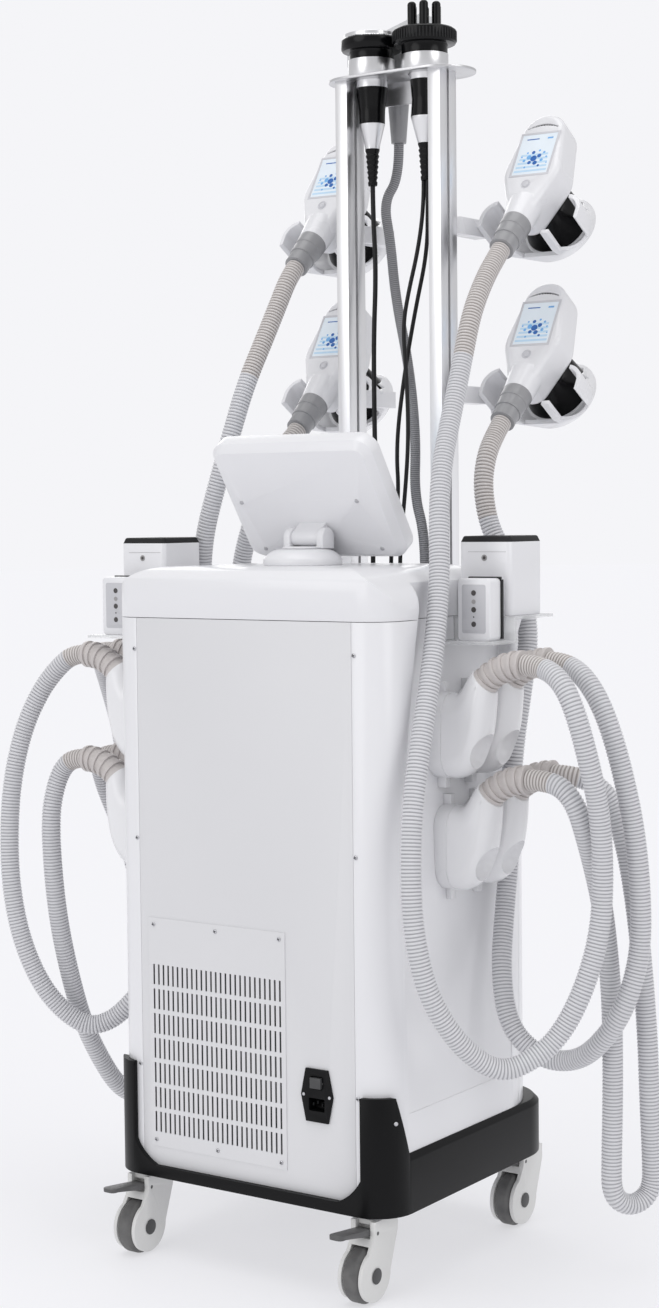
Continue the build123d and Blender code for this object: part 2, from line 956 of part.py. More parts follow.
# Mast: foot on the deck, two slotted extrusions, stadium plate with its web
mast_y = from_rear(mast_from_rear)
deck_z = seam_z + cover_height - deck_drop
column_foot_z = deck_z + foot_height
with BuildPart() as mast_foot:
    with BuildSketch(Plane.XY.offset(deck_z)):
        with Locations((0, mast_y)):
            RectangleRounded(foot_width, foot_depth, foot_corner)
    extrude(amount=foot_height)
    chamfer(mast_foot.faces().sort_by(Axis.Z)[-1].edges(), foot_height / 3)
    with BuildSketch(Plane.XY.offset(column_foot_z)):
        with Locations(cavitation_gland):
            Circle(cable_radius + gland_wall)
        with Locations(vacuum_gland):
            Circle(vacuum_hose_radius + gland_wall)
        with Locations(*lead_glands):
            Circle(lead_radius + gland_wall)
    extrude(amount=gland_height)

with BuildPart() as mast_columns:
    with BuildSketch(Plane.XY.offset(column_foot_z)):
        with Locations((-column_spread_x, mast_y), (column_spread_x, mast_y)):
            Rectangle(column_width, column_depth)
            for side in (-1, 1):
                with Locations((side * (column_width - slot_reach) / 2, 0)):
                    Rectangle(slot_reach + touch, slot_mouth, mode=Mode.SUBTRACT)
                with Locations((side * (column_width / 2 - (slot_lip + slot_reach) / 2), 0)):
                    Rectangle(slot_reach - slot_lip, slot_inner, mode=Mode.SUBTRACT)
    extrude(amount=column_top_z - column_foot_z)
write(mast_columns, "mast_columns")

plate_y = from_rear(plate_from_rear)
plate_top_z = column_top_z + plate_thickness
hanger_y = from_rear(hanger_from_rear)
vacuum_y = from_rear(vacuum_from_rear)
with BuildPart() as mast_plate:
    with BuildSketch(Plane.XY.offset(column_top_z)):
        with Locations((0, plate_y)):
            SlotOverall(plate_length, plate_width)
        with Locations((cavitation_x, hanger_y), (multipole_x, hanger_y)):
            Circle(neck_hole_radius, mode=Mode.SUBTRACT)
        with Locations((vacuum_x, vacuum_y)):
            Circle(vacuum_grip_radius + free_gap, mode=Mode.SUBTRACT)
        with Locations((vacuum_x, vacuum_y - vacuum_grip_radius)):
            Rectangle(2 * (vacuum_grip_radius + free_gap), 2 * vacuum_grip_radius, mode=Mode.SUBTRACT)
    extrude(amount=plate_thickness)
    with BuildSketch(Plane.XY.offset(column_top_z)):
        with Locations((0, from_rear(web_from_rear))):
            Rectangle(web_length, web_thickness)
    extrude(amount=-web_height)
    add(mast_foot.part)
write(mast_plate, "mast_plates")

# Handpieces: rims, cups, waisted grips, ferrules and ribbed reliefs, turned about their axis
def handpiece(centre_x, rim_radius, head_height, head_share, grip_share):
    """Round handpiece hanging through the plate, from its relief up to its rim."""
    ferrule_z = plate_top_z - hanger_drop
    relief_low_z = ferrule_z - relief_length
    pitch = relief_length / relief_ribs
    outline = [(0, relief_low_z), (relief_low_radius, relief_low_z)]
    for rib in range(1, relief_ribs):
        radius = relief_low_radius + (relief_high_radius - relief_low_radius) * rib / relief_ribs
        rib_z = relief_low_z + pitch * rib
        outline.append((radius, rib_z - pitch / 3))
        outline.append((radius - relief_rib_depth, rib_z))
    outline.append((relief_high_radius, ferrule_z - pitch / 3))
    outline.append((relief_high_radius, ferrule_z))
    outline += [(hanger_neck_radius * r, plate_top_z - hanger_drop * z) for r, z in grip_share]
    outline.append((hanger_neck_radius, plate_top_z))
    outline += [(rim_radius * r, plate_top_z + head_height * z) for r, z in head_share]
    body = turned(outline)
    return copies(body, [(centre_x, hanger_y, 0)])


cavitation = handpiece(
    cavitation_x,
    cavitation_rim_radius,
    cavitation_head_height,
    cavitation_head_share,
    cavitation_grip_share,
)
write(cavitation, "cavitation_handpiece")

multipole_body = handpiece(
    multipole_x,
    multipole_ring_radius,
    multipole_head_height,
    multipole_head_share,
    multipole_grip_share,
)
pole_foot_z = plate_top_z + multipole_head_height
with BuildPart() as multipole:
    add(multipole_body.part)
    with BuildSketch(Plane.XY.offset(pole_foot_z)):
        with Locations((multipole_x, hanger_y)):
            with PolarLocations(pole_circle_radius, pole_count):
                Circle(pole_radius)
    extrude(amount=pole_height)
    fillet(multipole.edges().group_by(Axis.Z)[-1], pole_radius * pole_round_share)
write(multipole, "multipole_handpiece")

# Vacuum handpiece: wedge head lying on the plate, tapered grip in the open notch
vacuum_slope_z = plate_top_z + vacuum_head_height * vacuum_slope_share
vacuum_crest_z = plate_top_z + vacuum_head_height * vacuum_crest_share
with BuildPart() as vacuum:
    with BuildSketch(Plane.XZ.offset(-vacuum_y - vacuum_head_depth / 2)):
        with BuildLine():
            Polyline(
                (vacuum_head_low_x, plate_top_z + vacuum_head_height / 2),
                (vacuum_head_low_x, plate_top_z + vacuum_head_height),
                (vacuum_head_low_x + vacuum_ledge, plate_top_z + vacuum_head_height),
                (vacuum_x + vacuum_grip_radius, vacuum_slope_z),
                (vacuum_head_high_x - vacuum_grip_radius, vacuum_crest_z),
                (vacuum_head_high_x, vacuum_slope_z),
                (vacuum_head_high_x, plate_top_z + vacuum_head_height / 3),
                (vacuum_x + vacuum_grip_radius, plate_top_z),
                (vacuum_x - vacuum_grip_radius, plate_top_z),
                close=True,
            )
        make_face()
    extrude(amount=vacuum_head_depth)
    fillet(vacuum.edges().filter_by(Axis.Y), vacuum_ledge / 2)
    with BuildSketch(Plane.XY.offset(plate_top_z)):
        with Locations((vacuum_x, vacuum_y)):
            Circle(vacuum_grip_radius)
    with BuildSketch(Plane.XY.offset(plate_top_z - vacuum_grip_length)):
        with Locations((vacuum_x, vacuum_y)):
            Circle(vacuum_tail_radius)
    loft()
write(vacuum, "vacuum_handpiece")

# Screen handle, modelled about the end of its neck: x across, y up its length, z out of the screen
with BuildPart() as handle_body:
    with BuildSketch(Plane.XY.offset(-grip_back)):
        with Locations((0, grip_low)):
            Circle(grip_low_radius)
        with Locations((0, grip_mid)):
            Circle(grip_mid_radius)
        with Locations((0, grip_high)):
            Circle(grip_high_radius)
        make_hull()
    extrude(amount=grip_back + grip_front)
    fillet(handle_body.faces().sort_by(Axis.Z)[-1].edges(), grip_front_round)
    fillet(handle_body.faces().sort_by(Axis.Z)[0].edges(), grip_back_round)
    neck_lean = coupling_lean - handle_lean
    neck_end = Plane(origin=(0, 0, 0), z_dir=Vector(0, -1, 0).rotate(Axis.X, -neck_lean))
    with BuildSketch(neck_end):
        Circle(neck_radius)
    with BuildSketch(Plane(origin=(0, grip_low + neck_radius / 2, -neck_root_back), z_dir=(0, -1, 0))):
        Circle(neck_root_radius)
    loft()
    with BuildSketch(Plane.XY.offset(grip_front)):
        with Locations((0, screen_middle)):
            Rectangle(screen_width + 2 * screen_border, screen_height + 2 * screen_border)
    extrude(amount=-screen_thickness, mode=Mode.SUBTRACT)
    with BuildSketch(Plane.XY.offset(grip_front)):
        with Locations((0, button_middle)):
            Circle(button_radius + touch)
    extrude(amount=-button_length - button_travel - touch, mode=Mode.SUBTRACT)
    with BuildSketch(Plane.XY.offset(grip_front)):
        with BuildLine():
            ThreePointArc(
                (-grille_width / 2, grille_middle - grille_rise),
                (0, grille_middle),
                (grille_width / 2, grille_middle - grille_rise),
            )
            Line(
                (grille_width / 2, grille_middle - grille_rise),
                (grille_width / 2, grille_middle - grille_rise - grille_mouth / 2),
            )
            ThreePointArc(
                (grille_width / 2, grille_middle - grille_rise - grille_mouth / 2),
                (0, grille_middle - grille_mouth),
                (-grille_width / 2, grille_middle - grille_rise - grille_mouth / 2),
            )
            Line(
                (-grille_width / 2, grille_middle - grille_rise - grille_mouth / 2),
                (-grille_width / 2, grille_middle - grille_rise),
            )
        make_face()
    extrude(amount=-grille_depth, mode=Mode.SUBTRACT)

with BuildPart() as handle_screen:
    with BuildSketch(Plane.XY.offset(grip_front)):
        with Locations((0, screen_middle)):
            Rectangle(screen_width, screen_height)
    extrude(amount=-screen_thickness)

with BuildPart() as handle_button:
    with BuildSketch(Plane.XY.offset(grip_front + button_proud)):
        with Locations((0, button_middle)):
            Circle(button_radius)
    extrude(amount=-button_length)

# Treatment cup under the handle, flaring to its mouth
def cup_form(grow):
    """Flared cup, grown all round to make its clearance in the cradle."""
    with BuildPart() as cup:
        with BuildSketch(Plane.XY.offset(-grip_back)):
            with Locations((0, cup_root_middle)):
                RectangleRounded(cup_root_width + 2 * grow, cup_root_height + 2 * grow, cup_root_corner)
        with BuildSketch(Plane.XY.offset(-grip_back - cup_depth)):
            with Locations((0, cup_middle)):
                RectangleRounded(
                    cup_mouth_width + 2 * grow,
                    cup_mouth_height + 2 * grow,
                    cup_mouth_height / 2 - touch,
                )
        loft(ruled=True)
    return cup.part


handle_cup = cup_form(0)
cup_space = cup_form(free_gap)
with BuildPart() as grip_space:
    with BuildSketch(Plane.XY.offset(-grip_back - free_gap)):
        with Locations((0, grip_low)):
            Circle(grip_low_radius + free_gap)
        with Locations((0, grip_mid)):
            Circle(grip_mid_radius + free_gap)
        with Locations((0, grip_high)):
            Circle(grip_high_radius + free_gap)
        make_hull()
    extrude(amount=grip_back + grip_front)

# Hose coupling on the neck: tapered barrel with two stepped rings
coupling_step_z = coupling_length / 3
with BuildPart() as handle_coupling:
    with BuildSketch(Plane.XZ):
        with BuildLine():
            Polyline(
                (0, 0),
                (neck_radius, 0),
                (neck_radius - coupling_step, coupling_step_z),
                (neck_radius - 2 * coupling_step, coupling_step_z),
                (neck_radius - 3 * coupling_step, 2 * coupling_step_z),
                (coupling_tip_radius, 2 * coupling_step_z),
                (coupling_tip_radius, coupling_length),
                (0, coupling_length),
                close=True,
            )
        make_face()
    revolve(axis=Axis.Z)

# Cradle: moulded band round the cup, open above and split for the neck, on a round dish
dish_z = -grip_back - cup_depth
gap_x = cradle_gap_width / 2
with BuildPart() as cradle_void:
    with BuildSketch(Plane.XY.offset(cradle_front + overrun)):
        with Locations((0, cradle_middle)):
            RectangleRounded(
                cradle_width - 2 * cradle_wall,
                cradle_height - 2 * cradle_wall,
                cradle_corner - cradle_wall,
            )
    extrude(amount=cradle_step - cradle_front - overrun)
    with BuildSketch(Plane.XY.offset(cradle_step)):
        with Locations((0, cradle_middle)):
            RectangleRounded(
                cradle_width - 2 * cradle_wall,
                cradle_height - 2 * cradle_wall,
                cradle_corner - cradle_wall,
            )
    with BuildSketch(Plane.XY.offset(dish_z)):
        with Locations((0, cup_middle)):
            RectangleRounded(
                2 * (dish_radius - cradle_wall),
                2 * (dish_radius - cradle_wall),
                dish_radius - cradle_wall - touch,
            )
    loft(ruled=True)
with BuildPart() as cradle:
    with BuildSketch(Plane.XY.offset(cradle_front)):
        with Locations((0, cradle_middle)):
            RectangleRounded(cradle_width, cradle_height, cradle_corner)
    extrude(amount=cradle_step - cradle_front)
    with BuildSketch(Plane.XY.offset(cradle_step)):
        with Locations((0, cradle_middle)):
            RectangleRounded(cradle_width, cradle_height, cradle_corner)
    with BuildSketch(Plane.XY.offset(dish_z - dish_thickness)):
        with Locations((0, cup_middle)):
            RectangleRounded(2 * dish_radius, 2 * dish_radius, dish_radius - touch)
    loft(ruled=True)
    add(cradle_void.part, mode=Mode.SUBTRACT)
    add(grip_space.part, mode=Mode.SUBTRACT)
    add(cup_space, mode=Mode.SUBTRACT)
    with BuildSketch(Plane.XY.offset(cradle_front + overrun)):
        with Locations((0, grip_mid)):
            Rectangle(cradle_open_width, 2 * (grip_mid - cradle_open_from))
    extrude(amount=dish_z + cradle_rim - cradle_front - overrun, mode=Mode.SUBTRACT)
    with BuildSketch(Plane.XY.offset(cradle_front + overrun)):
        with Locations((0, grip_mid)):
            Rectangle(cradle_gap_width, 2 * (grip_mid + overrun))
    extrude(amount=dish_z + cradle_rim - cradle_front - overrun, mode=Mode.SUBTRACT)
    window_y = cradle_middle - cradle_height / 2
    for side in (-1, 1):
        with BuildSketch(Plane.XY.offset(cradle_front + overrun)):
            with BuildLine():
                Polyline(
                    (side * (gap_x + 2 * cradle_wall), window_y - overrun),
                    (side * (gap_x + 2 * cradle_wall), window_y + cradle_wall),
                    (side * (gap_x + 3 * cradle_wall), cradle_middle),
                    (side * (cradle_width / 2 - 3 * cradle_wall), cradle_middle),
                    (side * (cradle_width / 2 + overrun), window_y + cradle_wall),
                    (side * (cradle_width / 2 + overrun), window_y - overrun),
                    close=True,
                )
            make_face()
        extrude(amount=cradle_step - cradle_front - overrun, mode=Mode.SUBTRACT)

# Four handle places on the mast, and the arms from the columns to the cradles
lean = math.radians(handle_lean)
handle_y = from_rear(handle_from_rear)
handle_heights = (upper_handle_z, upper_handle_z - handle_pitch_z)
handle_places = []
handle_names = []
for level, height in zip(("upper", "lower"), handle_heights):
    for side, side_name in ((-1, "right"), (1, "left")):
        handle_plane = Plane(
            origin=(side * handle_spread_x, handle_y, height),
            x_dir=(-1, 0, 0),
            z_dir=(0, math.cos(lean), math.sin(lean)),
        )
        handle_places.append(handle_plane.location)
        handle_names.append(f"{level}_{side_name}")
coupling_spot = neck_end.location
write(copies(handle_body.part, handle_places), "handle_bodies")
write(copies(handle_screen.part, handle_places), "handle_screens")
write(copies(handle_cup, handle_places), "handle_cups")
write(copies(coupling_spot * handle_coupling.part, handle_places), "handle_couplings")
cradles = copies(cradle.part, handle_places)
for place, name in zip(handle_places, handle_names):
    write(copies(handle_button.part, [place]), f"handle_button_{name}")

arm_inner_x = handle_spread_x - cradle_width / 2 - arm_width
arm_outer_x = handle_spread_x - cradle_width / 2
column_front_y = mast_y - column_depth / 2
cradle_flat = Vector(0, cradle_middle, (cradle_front + cradle_step) / 2)
with BuildPart() as handle_cradles:
    add(cradles.part)
    for height in handle_heights:
        seat = Plane(
            origin=(0, handle_y, height),
            x_dir=(-1, 0, 0),
            z_dir=(0, math.cos(lean), math.sin(lean)),
        ).from_local_coords(cradle_flat)
        for side in (-1, 1):
            arm_x = side * (arm_inner_x + arm_outer_x) / 2
            arm_y = (column_front_y + seat.Y - arm_height / 2) / 2
            with Locations((arm_x, arm_y, seat.Z)):
                Box(arm_width, column_front_y - seat.Y + arm_height / 2, arm_height)
write(handle_cradles, "handle_cradles")

# Docks on the recess walls, each an oval cup for one plug with a clip above and below
def oval(width, height):
    """Long oval outline of a dock or plug section."""
    with BuildSketch() as outline:
        RectangleRounded(width, height, min(width, height) / 2 - touch)
    return outline.sketch


plug_spots = []
for side, upper_near, lower_near in (
    (-1, dock_near_right, dock_lower_right),
    (1, dock_near_left, dock_lower_left),
):
    for near, level_z in ((upper_near, dock_upper_z), (lower_near, dock_lower_z)):
        plug_spots.append((side, from_rear(near), level_z))
        plug_spots.append((side, from_rear(near + dock_pitch_y), level_z))

dock_inner_x = half_width / 2
clip_offset = (dock_height + clip_height) / 2
with BuildPart() as plug_docks:
    for side, row_y, level_z in plug_spots:
        facing = {"x_dir": (0, 1, 0), "z_dir": (side, 0, 0)}
        with BuildSketch(Plane(origin=(side * dock_inner_x, row_y, level_z), **facing)):
            add(oval(dock_width, dock_height))
            with Locations((0, clip_offset), (0, -clip_offset)):
                Rectangle(clip_width, clip_height + 2 * dock_wall)
        extrude(amount=dock_face_x - clip_depth - dock_inner_x)
        with BuildSketch(Plane(origin=(side * dock_inner_x, row_y, level_z), **facing)):
            add(oval(dock_width, dock_height))
        extrude(amount=dock_face_x - dock_inner_x)
        with BuildSketch(Plane(origin=(side * dock_face_x, row_y, level_z), **facing)):
            add(oval(dock_width - 2 * dock_wall, dock_height - 2 * dock_wall))
        extrude(amount=-dock_pocket, mode=Mode.SUBTRACT)
    add(body_solid.part, mode=Mode.SUBTRACT)
write(plug_docks, "plug_docks")

# Plugs: oval foot in the dock, pear swelling, neck turned up and outward
plug_seat_x = dock_face_x - dock_pocket


def tilted(x, z, degrees):
    """Section plane of a plug, turned up from the wall's outward direction."""
    angle = math.radians(degrees)
    return Plane(origin=(x, 0, z), x_dir=(0, 1, 0), z_dir=(math.cos(angle), 0, math.sin(angle)))


foot_oval = oval(
    dock_width - 2 * (dock_wall + plug_gap),
    dock_height - 2 * (dock_wall + plug_gap),
)
face_oval = oval(dock_width - 2 * plug_gap, dock_height - 2 * plug_gap)
swell_oval = oval(dock_width * plug_swell_share, dock_height * plug_swell_share)
turn_oval = oval(dock_width * plug_turn_width_share, dock_height * plug_turn_height_share)
neck_oval = oval(2 * plug_neck_radius, 2 * plug_neck_radius)
neck_plane = tilted(plug_neck_x, plug_neck_rise, plug_neck_tilt)
neck_angle = math.radians(plug_neck_tilt)
sleeve_end_x = plug_neck_x + sleeve_bend * math.sin(neck_angle)
sleeve_end_rise = plug_neck_rise + sleeve_bend * (1 - math.cos(neck_angle))
sleeve_end = tilted(sleeve_end_x, sleeve_end_rise, 0)
with BuildPart() as plug:
    with BuildSketch(tilted(plug_seat_x, 0, 0)):
        add(foot_oval)
    extrude(amount=dock_face_x + plug_gap - plug_seat_x)
    with BuildSketch(tilted(dock_face_x + plug_gap, 0, 0)):
        add(face_oval)
    with BuildSketch(tilted(plug_swell_x, plug_swell_rise, plug_swell_tilt)):
        add(swell_oval)
    with BuildSketch(tilted(plug_turn_x, plug_turn_rise, plug_turn_tilt)):
        add(turn_oval)
    with BuildSketch(neck_plane):
        add(neck_oval)
    loft()
    dimple_lift = dock_height / 2 * plug_swell_share * math.sin(math.radians(plug_swell_tilt))
    with Locations((plug_swell_x + dimple_lift + dimple_radius - dimple_depth, 0, -dimple_drop)):
        Sphere(dimple_radius, mode=Mode.SUBTRACT)

# Ribbed sleeve on the plug's neck, bent outward until it lies level
with BuildPart() as sleeve:
    with BuildLine() as bend:
        TangentArc(neck_plane.origin, sleeve_end.origin, tangent=neck_plane.z_dir)
    with BuildSketch(neck_plane):
        Circle(sleeve_root_radius)
    sweep(path=bend.line)
    with BuildSketch(neck_plane):
        Circle(sleeve_radius)
    extrude(amount=sleeve_rib)
    with BuildSketch(sleeve_end):
        Circle(sleeve_radius)
    extrude(amount=-sleeve_rib)
    for rib in range(1, sleeve_ribs - 1):
        share = rib / (sleeve_ribs - 1)
        with BuildSketch(Plane(origin=bend.line @ share, z_dir=bend.line % share)):
            Circle(sleeve_radius)
        extrude(amount=sleeve_rib / 2, both=True)

with BuildPart() as sleeved_plug:
    add(plug.part)
    add(sleeve.part)

plug_places = []
for side, row_y, level_z in plug_spots:
    turn = Plane(origin=(0, row_y, level_z), x_dir=(side, 0, 0), z_dir=(0, 0, 1))
    plug_places.append(turn.location)
write(copies(sleeved_plug.part, plug_places), "hose_plugs")

# Side trays: clear lower plate, riser and upper shelf with a slot for the large applicator
large_y = from_rear(large_from_rear + large_depth / 2)
large_x = large_inner_x + large_width / 2
small_x = small_inner_x + small_width / 2
small_y = from_rear(small_from_rear + small_depth / 2)
shelf_z = tray_z + tray_rise + tray_thickness
shelf_low_z = tray_z + tray_thickness
slot_width_x = large_width * large_tongue_share + 2 * touch
slot_depth_y = large_depth * large_tongue_share + 2 * touch
flank_shifts = ((-1, 0, 0), (1, left_shift_x, left_shift_y))
with BuildPart() as side_trays:
    for side, out_x, back_y in flank_shifts:
        rear_edge = from_rear(tray_rear_from_rear) + back_y
        step_edge = from_rear(tray_step_from_rear) + back_y
        front_edge = from_rear(tray_front_from_rear) + back_y
        with BuildSketch(Plane.YZ):
            with BuildLine():
                Polyline(
                    (rear_edge, tray_z),
                    (rear_edge, tray_z + tray_thickness),
                    (step_edge + tray_thickness, tray_z + tray_thickness),
                    (step_edge + tray_thickness, shelf_z),
                    (front_edge, shelf_z),
                    (front_edge, tray_z + tray_rise),
                    (step_edge, tray_z + tray_rise),
                    (step_edge, tray_z),
                    close=True,
                )
            make_face()
        extrude(amount=side * (tray_outer_x + out_x))
        with BuildSketch(Plane.XY.offset(tray_z + tray_rise)):
            with Locations((side * (large_x + out_x), large_y + back_y)):
                Rectangle(slot_width_x, slot_depth_y)
        extrude(amount=tray_thickness, mode=Mode.SUBTRACT)
    add(body_solid.part, mode=Mode.SUBTRACT)
write(side_trays, "side_trays")

# Spare applicators parked on the trays: a large one in the slot, a small one behind it
with BuildPart() as spare_applicators:
    for side, out_x, back_y in flank_shifts:
        body_place = (side * (large_x + out_x), large_y + back_y)
        with BuildSketch(Plane.XY.offset(shelf_z)):
            with Locations(body_place):
                RectangleRounded(large_width, large_depth, large_corner)
        extrude(amount=large_height - cap_pad_height)
        with BuildSketch(Plane.XY.offset(shelf_z)):
            with Locations(body_place):
                Rectangle(large_width * large_tongue_share, large_depth * large_tongue_share)
        extrude(amount=-large_tongue, taper=screw_taper / 2)
        with BuildSketch(Plane.XY.offset(shelf_z + large_height - cap_pad_height)):
            with Locations(body_place):
                RectangleRounded(large_width, large_depth, large_corner)
        extrude(amount=cap_pad_height, taper=screw_taper)
        with BuildSketch(Plane.XZ.offset(small_depth / 2 - small_y - back_y)):
            with Locations((side * (small_x + out_x), shelf_low_z + small_height / 2)):
                RectangleRounded(small_width, small_height, small_corner)
        extrude(amount=-small_depth)
write(spare_applicators, "spare_applicators")

# Monitor: low dome on the cover, yoke that turns on it, shell hung on the yoke's pin
cover_top_z = seam_z + cover_height
stand_y = from_rear(stand_from_rear)
with BuildPart() as stand:
    with BuildSketch(Plane.XZ):
        with BuildLine():
            Line((0, 0), (stand_radius, 0))
            Line((stand_radius, 0), (stand_radius, stand_edge))
            ThreePointArc(
                (stand_radius, stand_edge),
                (stand_radius * dome_width_share, stand_height * dome_height_share),
                (boss_radius, stand_height),
            )
            Line((boss_radius, stand_height), (0, stand_height))
            Line((0, stand_height), (0, 0))
        make_face()
    revolve(axis=Axis.Z)
write(copies(stand.part, [(0, stand_y, cover_top_z)]), "monitor_stand")

monitor_angle = math.radians(monitor_lean)
monitor_back = Plane(
    origin=(0, from_rear(monitor_from_rear), monitor_low_z),
    x_dir=(-1, 0, 0),
    z_dir=(0, math.cos(monitor_angle), -math.sin(monitor_angle)),
)
hinge_point = monitor_back.from_local_coords(Vector(0, hinge_up, hinge_out))
yoke_z = cover_top_z + stand_height + touch
ear_inner_x = lug_width / 2 + touch
ear_outer_x = ear_inner_x + yoke_wall
with BuildPart() as monitor_yoke:
    with BuildSketch(Plane.XY.offset(yoke_z)):
        with Locations((0, stand_y)):
            Circle(yoke_base_radius)
        with Locations((0, hinge_point.Y)):
            Rectangle(2 * ear_outer_x, yoke_base_radius)
    extrude(amount=yoke_base)
    for side in (-1, 1):
        with BuildSketch(Plane.YZ.offset(side * ear_inner_x)):
            with Locations((hinge_point.Y, hinge_point.Z)):
                Circle(yoke_ear_radius)
            with Locations((hinge_point.Y, (hinge_point.Z + yoke_z) / 2)):
                Rectangle(2 * yoke_ear_radius, hinge_point.Z - yoke_z)
        extrude(amount=side * yoke_wall)
    with Locations(hinge_point):
        Cylinder(hinge_radius, 2 * ear_outer_x, rotation=(0, 90, 0))
    add(block(-wide_x, wide_x, front_y, rear_y, cover_top_z, yoke_z), mode=Mode.SUBTRACT)
write(monitor_yoke, "monitor_yoke")

glass_width = monitor_width - 2 * screen_margin
glass_height = monitor_height - 2 * screen_margin
with BuildPart() as monitor_shell:
    with BuildSketch(monitor_back.offset(-monitor_taper)):
        with Locations((0, monitor_height / 2)):
            RectangleRounded(monitor_width, monitor_height, monitor_corner)
    extrude(amount=monitor_taper - monitor_thickness)
    with BuildSketch(monitor_back.offset(-monitor_taper)):
        with Locations((0, monitor_height / 2)):
            RectangleRounded(monitor_width, monitor_height, monitor_corner)
    with BuildSketch(monitor_back):
        with Locations((0, monitor_height / 2)):
            RectangleRounded(
                monitor_width - 2 * monitor_taper,
                monitor_height - 2 * monitor_taper,
                monitor_corner - monitor_taper,
            )
    loft(ruled=True)
    with BuildSketch(monitor_back.offset(-monitor_thickness)):
        with Locations((0, monitor_height / 2)):
            Rectangle(glass_width + 2 * screen_border, glass_height + 2 * screen_border)
    extrude(amount=glass_thickness, mode=Mode.SUBTRACT)
    with BuildSketch(monitor_back):
        with Locations((0, hinge_up)):
            Rectangle(lug_width, 2 * lug_radius)
    extrude(amount=hinge_out)
    with Locations(hinge_point):
        Cylinder(lug_radius, lug_width, rotation=(0, 90, 0))
        Cylinder(hinge_radius + running_fit, wide_x, rotation=(0, 90, 0), mode=Mode.SUBTRACT)
    with BuildSketch(monitor_back):
        with Locations(*monitor_screws):
            Circle(screw_radius)
    extrude(amount=screw_rise, taper=screw_taper)
write(monitor_shell, "monitor_shell")

with BuildPart() as monitor_screen:
    with BuildSketch(monitor_back.offset(-monitor_thickness)):
        with Locations((0, monitor_height / 2)):
            Rectangle(glass_width, glass_height)
    extrude(amount=glass_thickness)
write(monitor_screen, "monitor_screen")

# Radiator behind the vent, with the stub that its fan turns on
radiator_y = from_rear(radiator_from_rear)
fan_face_y = radiator_y - radiator_depth
fan_plane = Plane(origin=(fan_x, fan_face_y, fan_z), x_dir=(1, 0, 0), z_dir=(0, -1, 0))
with BuildPart() as radiator:
    add(
        block(
            radiator_low_x,
            radiator_high_x,
            fan_face_y,
            radiator_y,
            cabinet_low_z,
            radiator_high_z,
        )
    )
    with BuildSketch(fan_plane):
        Circle(fan_stub_radius)
    extrude(amount=fan_stub_length)
write(radiator, "radiator")

with BuildPart() as fan_rotor:
    with BuildSketch(fan_plane.offset(free_gap)):
        Circle(fan_hub_radius)
    extrude(amount=fan_depth)
    for blade in range(fan_blades):
        turned_by = 360 / fan_blades * blade
        spoke = Location(fan_plane.offset(free_gap + fan_depth / 2)) * Rot(0, 0, turned_by)
        reach = (fan_radius + fan_hub_radius) / 2 - free_gap
        with Locations(spoke * Pos(reach, 0, 0) * Rot(blade_pitch, 0, 0)):
            Box(fan_radius - fan_hub_radius + 2 * free_gap, blade_width, blade_thickness)
    with BuildSketch(fan_plane):
        Circle(fan_stub_radius + running_fit)
    extrude(amount=fan_stub_length, mode=Mode.SUBTRACT)
write(fan_rotor, "fan_rotor")


# Tank, pump and supply standing on the tray of the base
def seated(size, place):
    """Block standing on the tray of the base."""
    with BuildPart() as solid:
        with Locations((place[0], place[1], cabinet_low_z + size[2] / 2)):
            Box(*size)
    return solid


write(seated(tank_size, tank_place), "water_tank")

pump_z = cabinet_low_z + pump_foot[2] + pump_radius - blade_thickness
with BuildPart() as vacuum_pump:
    add(seated(pump_foot, pump_place).part)
    with Locations((pump_place[0], pump_place[1], pump_z)):
        Cylinder(pump_radius, pump_length, rotation=(0, 90, 0))
write(vacuum_pump, "vacuum_pump")

board_z = cabinet_low_z + supply_size[2] + standoff_height
with BuildPart() as electronics:
    add(seated(supply_size, supply_place).part)
    with BuildSketch(Plane.XY.offset(cabinet_low_z + supply_size[2])):
        with Locations(supply_place):
            with GridLocations(
                board_size[0] - 2 * standoff_inset,
                board_size[1] - 2 * standoff_inset,
                2,
                2,
            ):
                Circle(standoff_radius)
    extrude(amount=standoff_height)
    with Locations((supply_place[0], supply_place[1], board_z + board_size[2] / 2)):
        Box(*board_size)
write(electronics, "electronics")


# Hoses and cables: straight runs joined by tangent arcs, from one fitting to the other
def tube(start, middle, end, radius, lead):
    """Round tube leaving both fittings square, through the points between them."""
    points = [start.origin, start.origin + start.z_dir * lead]
    points += [Vector(*point) for point in middle]
    points += [end.origin + end.z_dir * lead, end.origin]
    runs = [after - before for before, after in zip(points, points[1:])]
    radii = []
    for before, after in zip(runs, runs[1:]):
        half_turn = math.radians(before.get_angle(after)) / 2
        radii.append(run_share * min(before.length, after.length) / math.tan(half_turn))
    print("tube radii", [round(value) for value in radii])
    with BuildPart() as run:
        with BuildLine() as path:
            FilletPolyline(*points, radius=radii)
        with BuildSketch(start):
            Circle(radius)
        sweep(path=path.line)
    return run


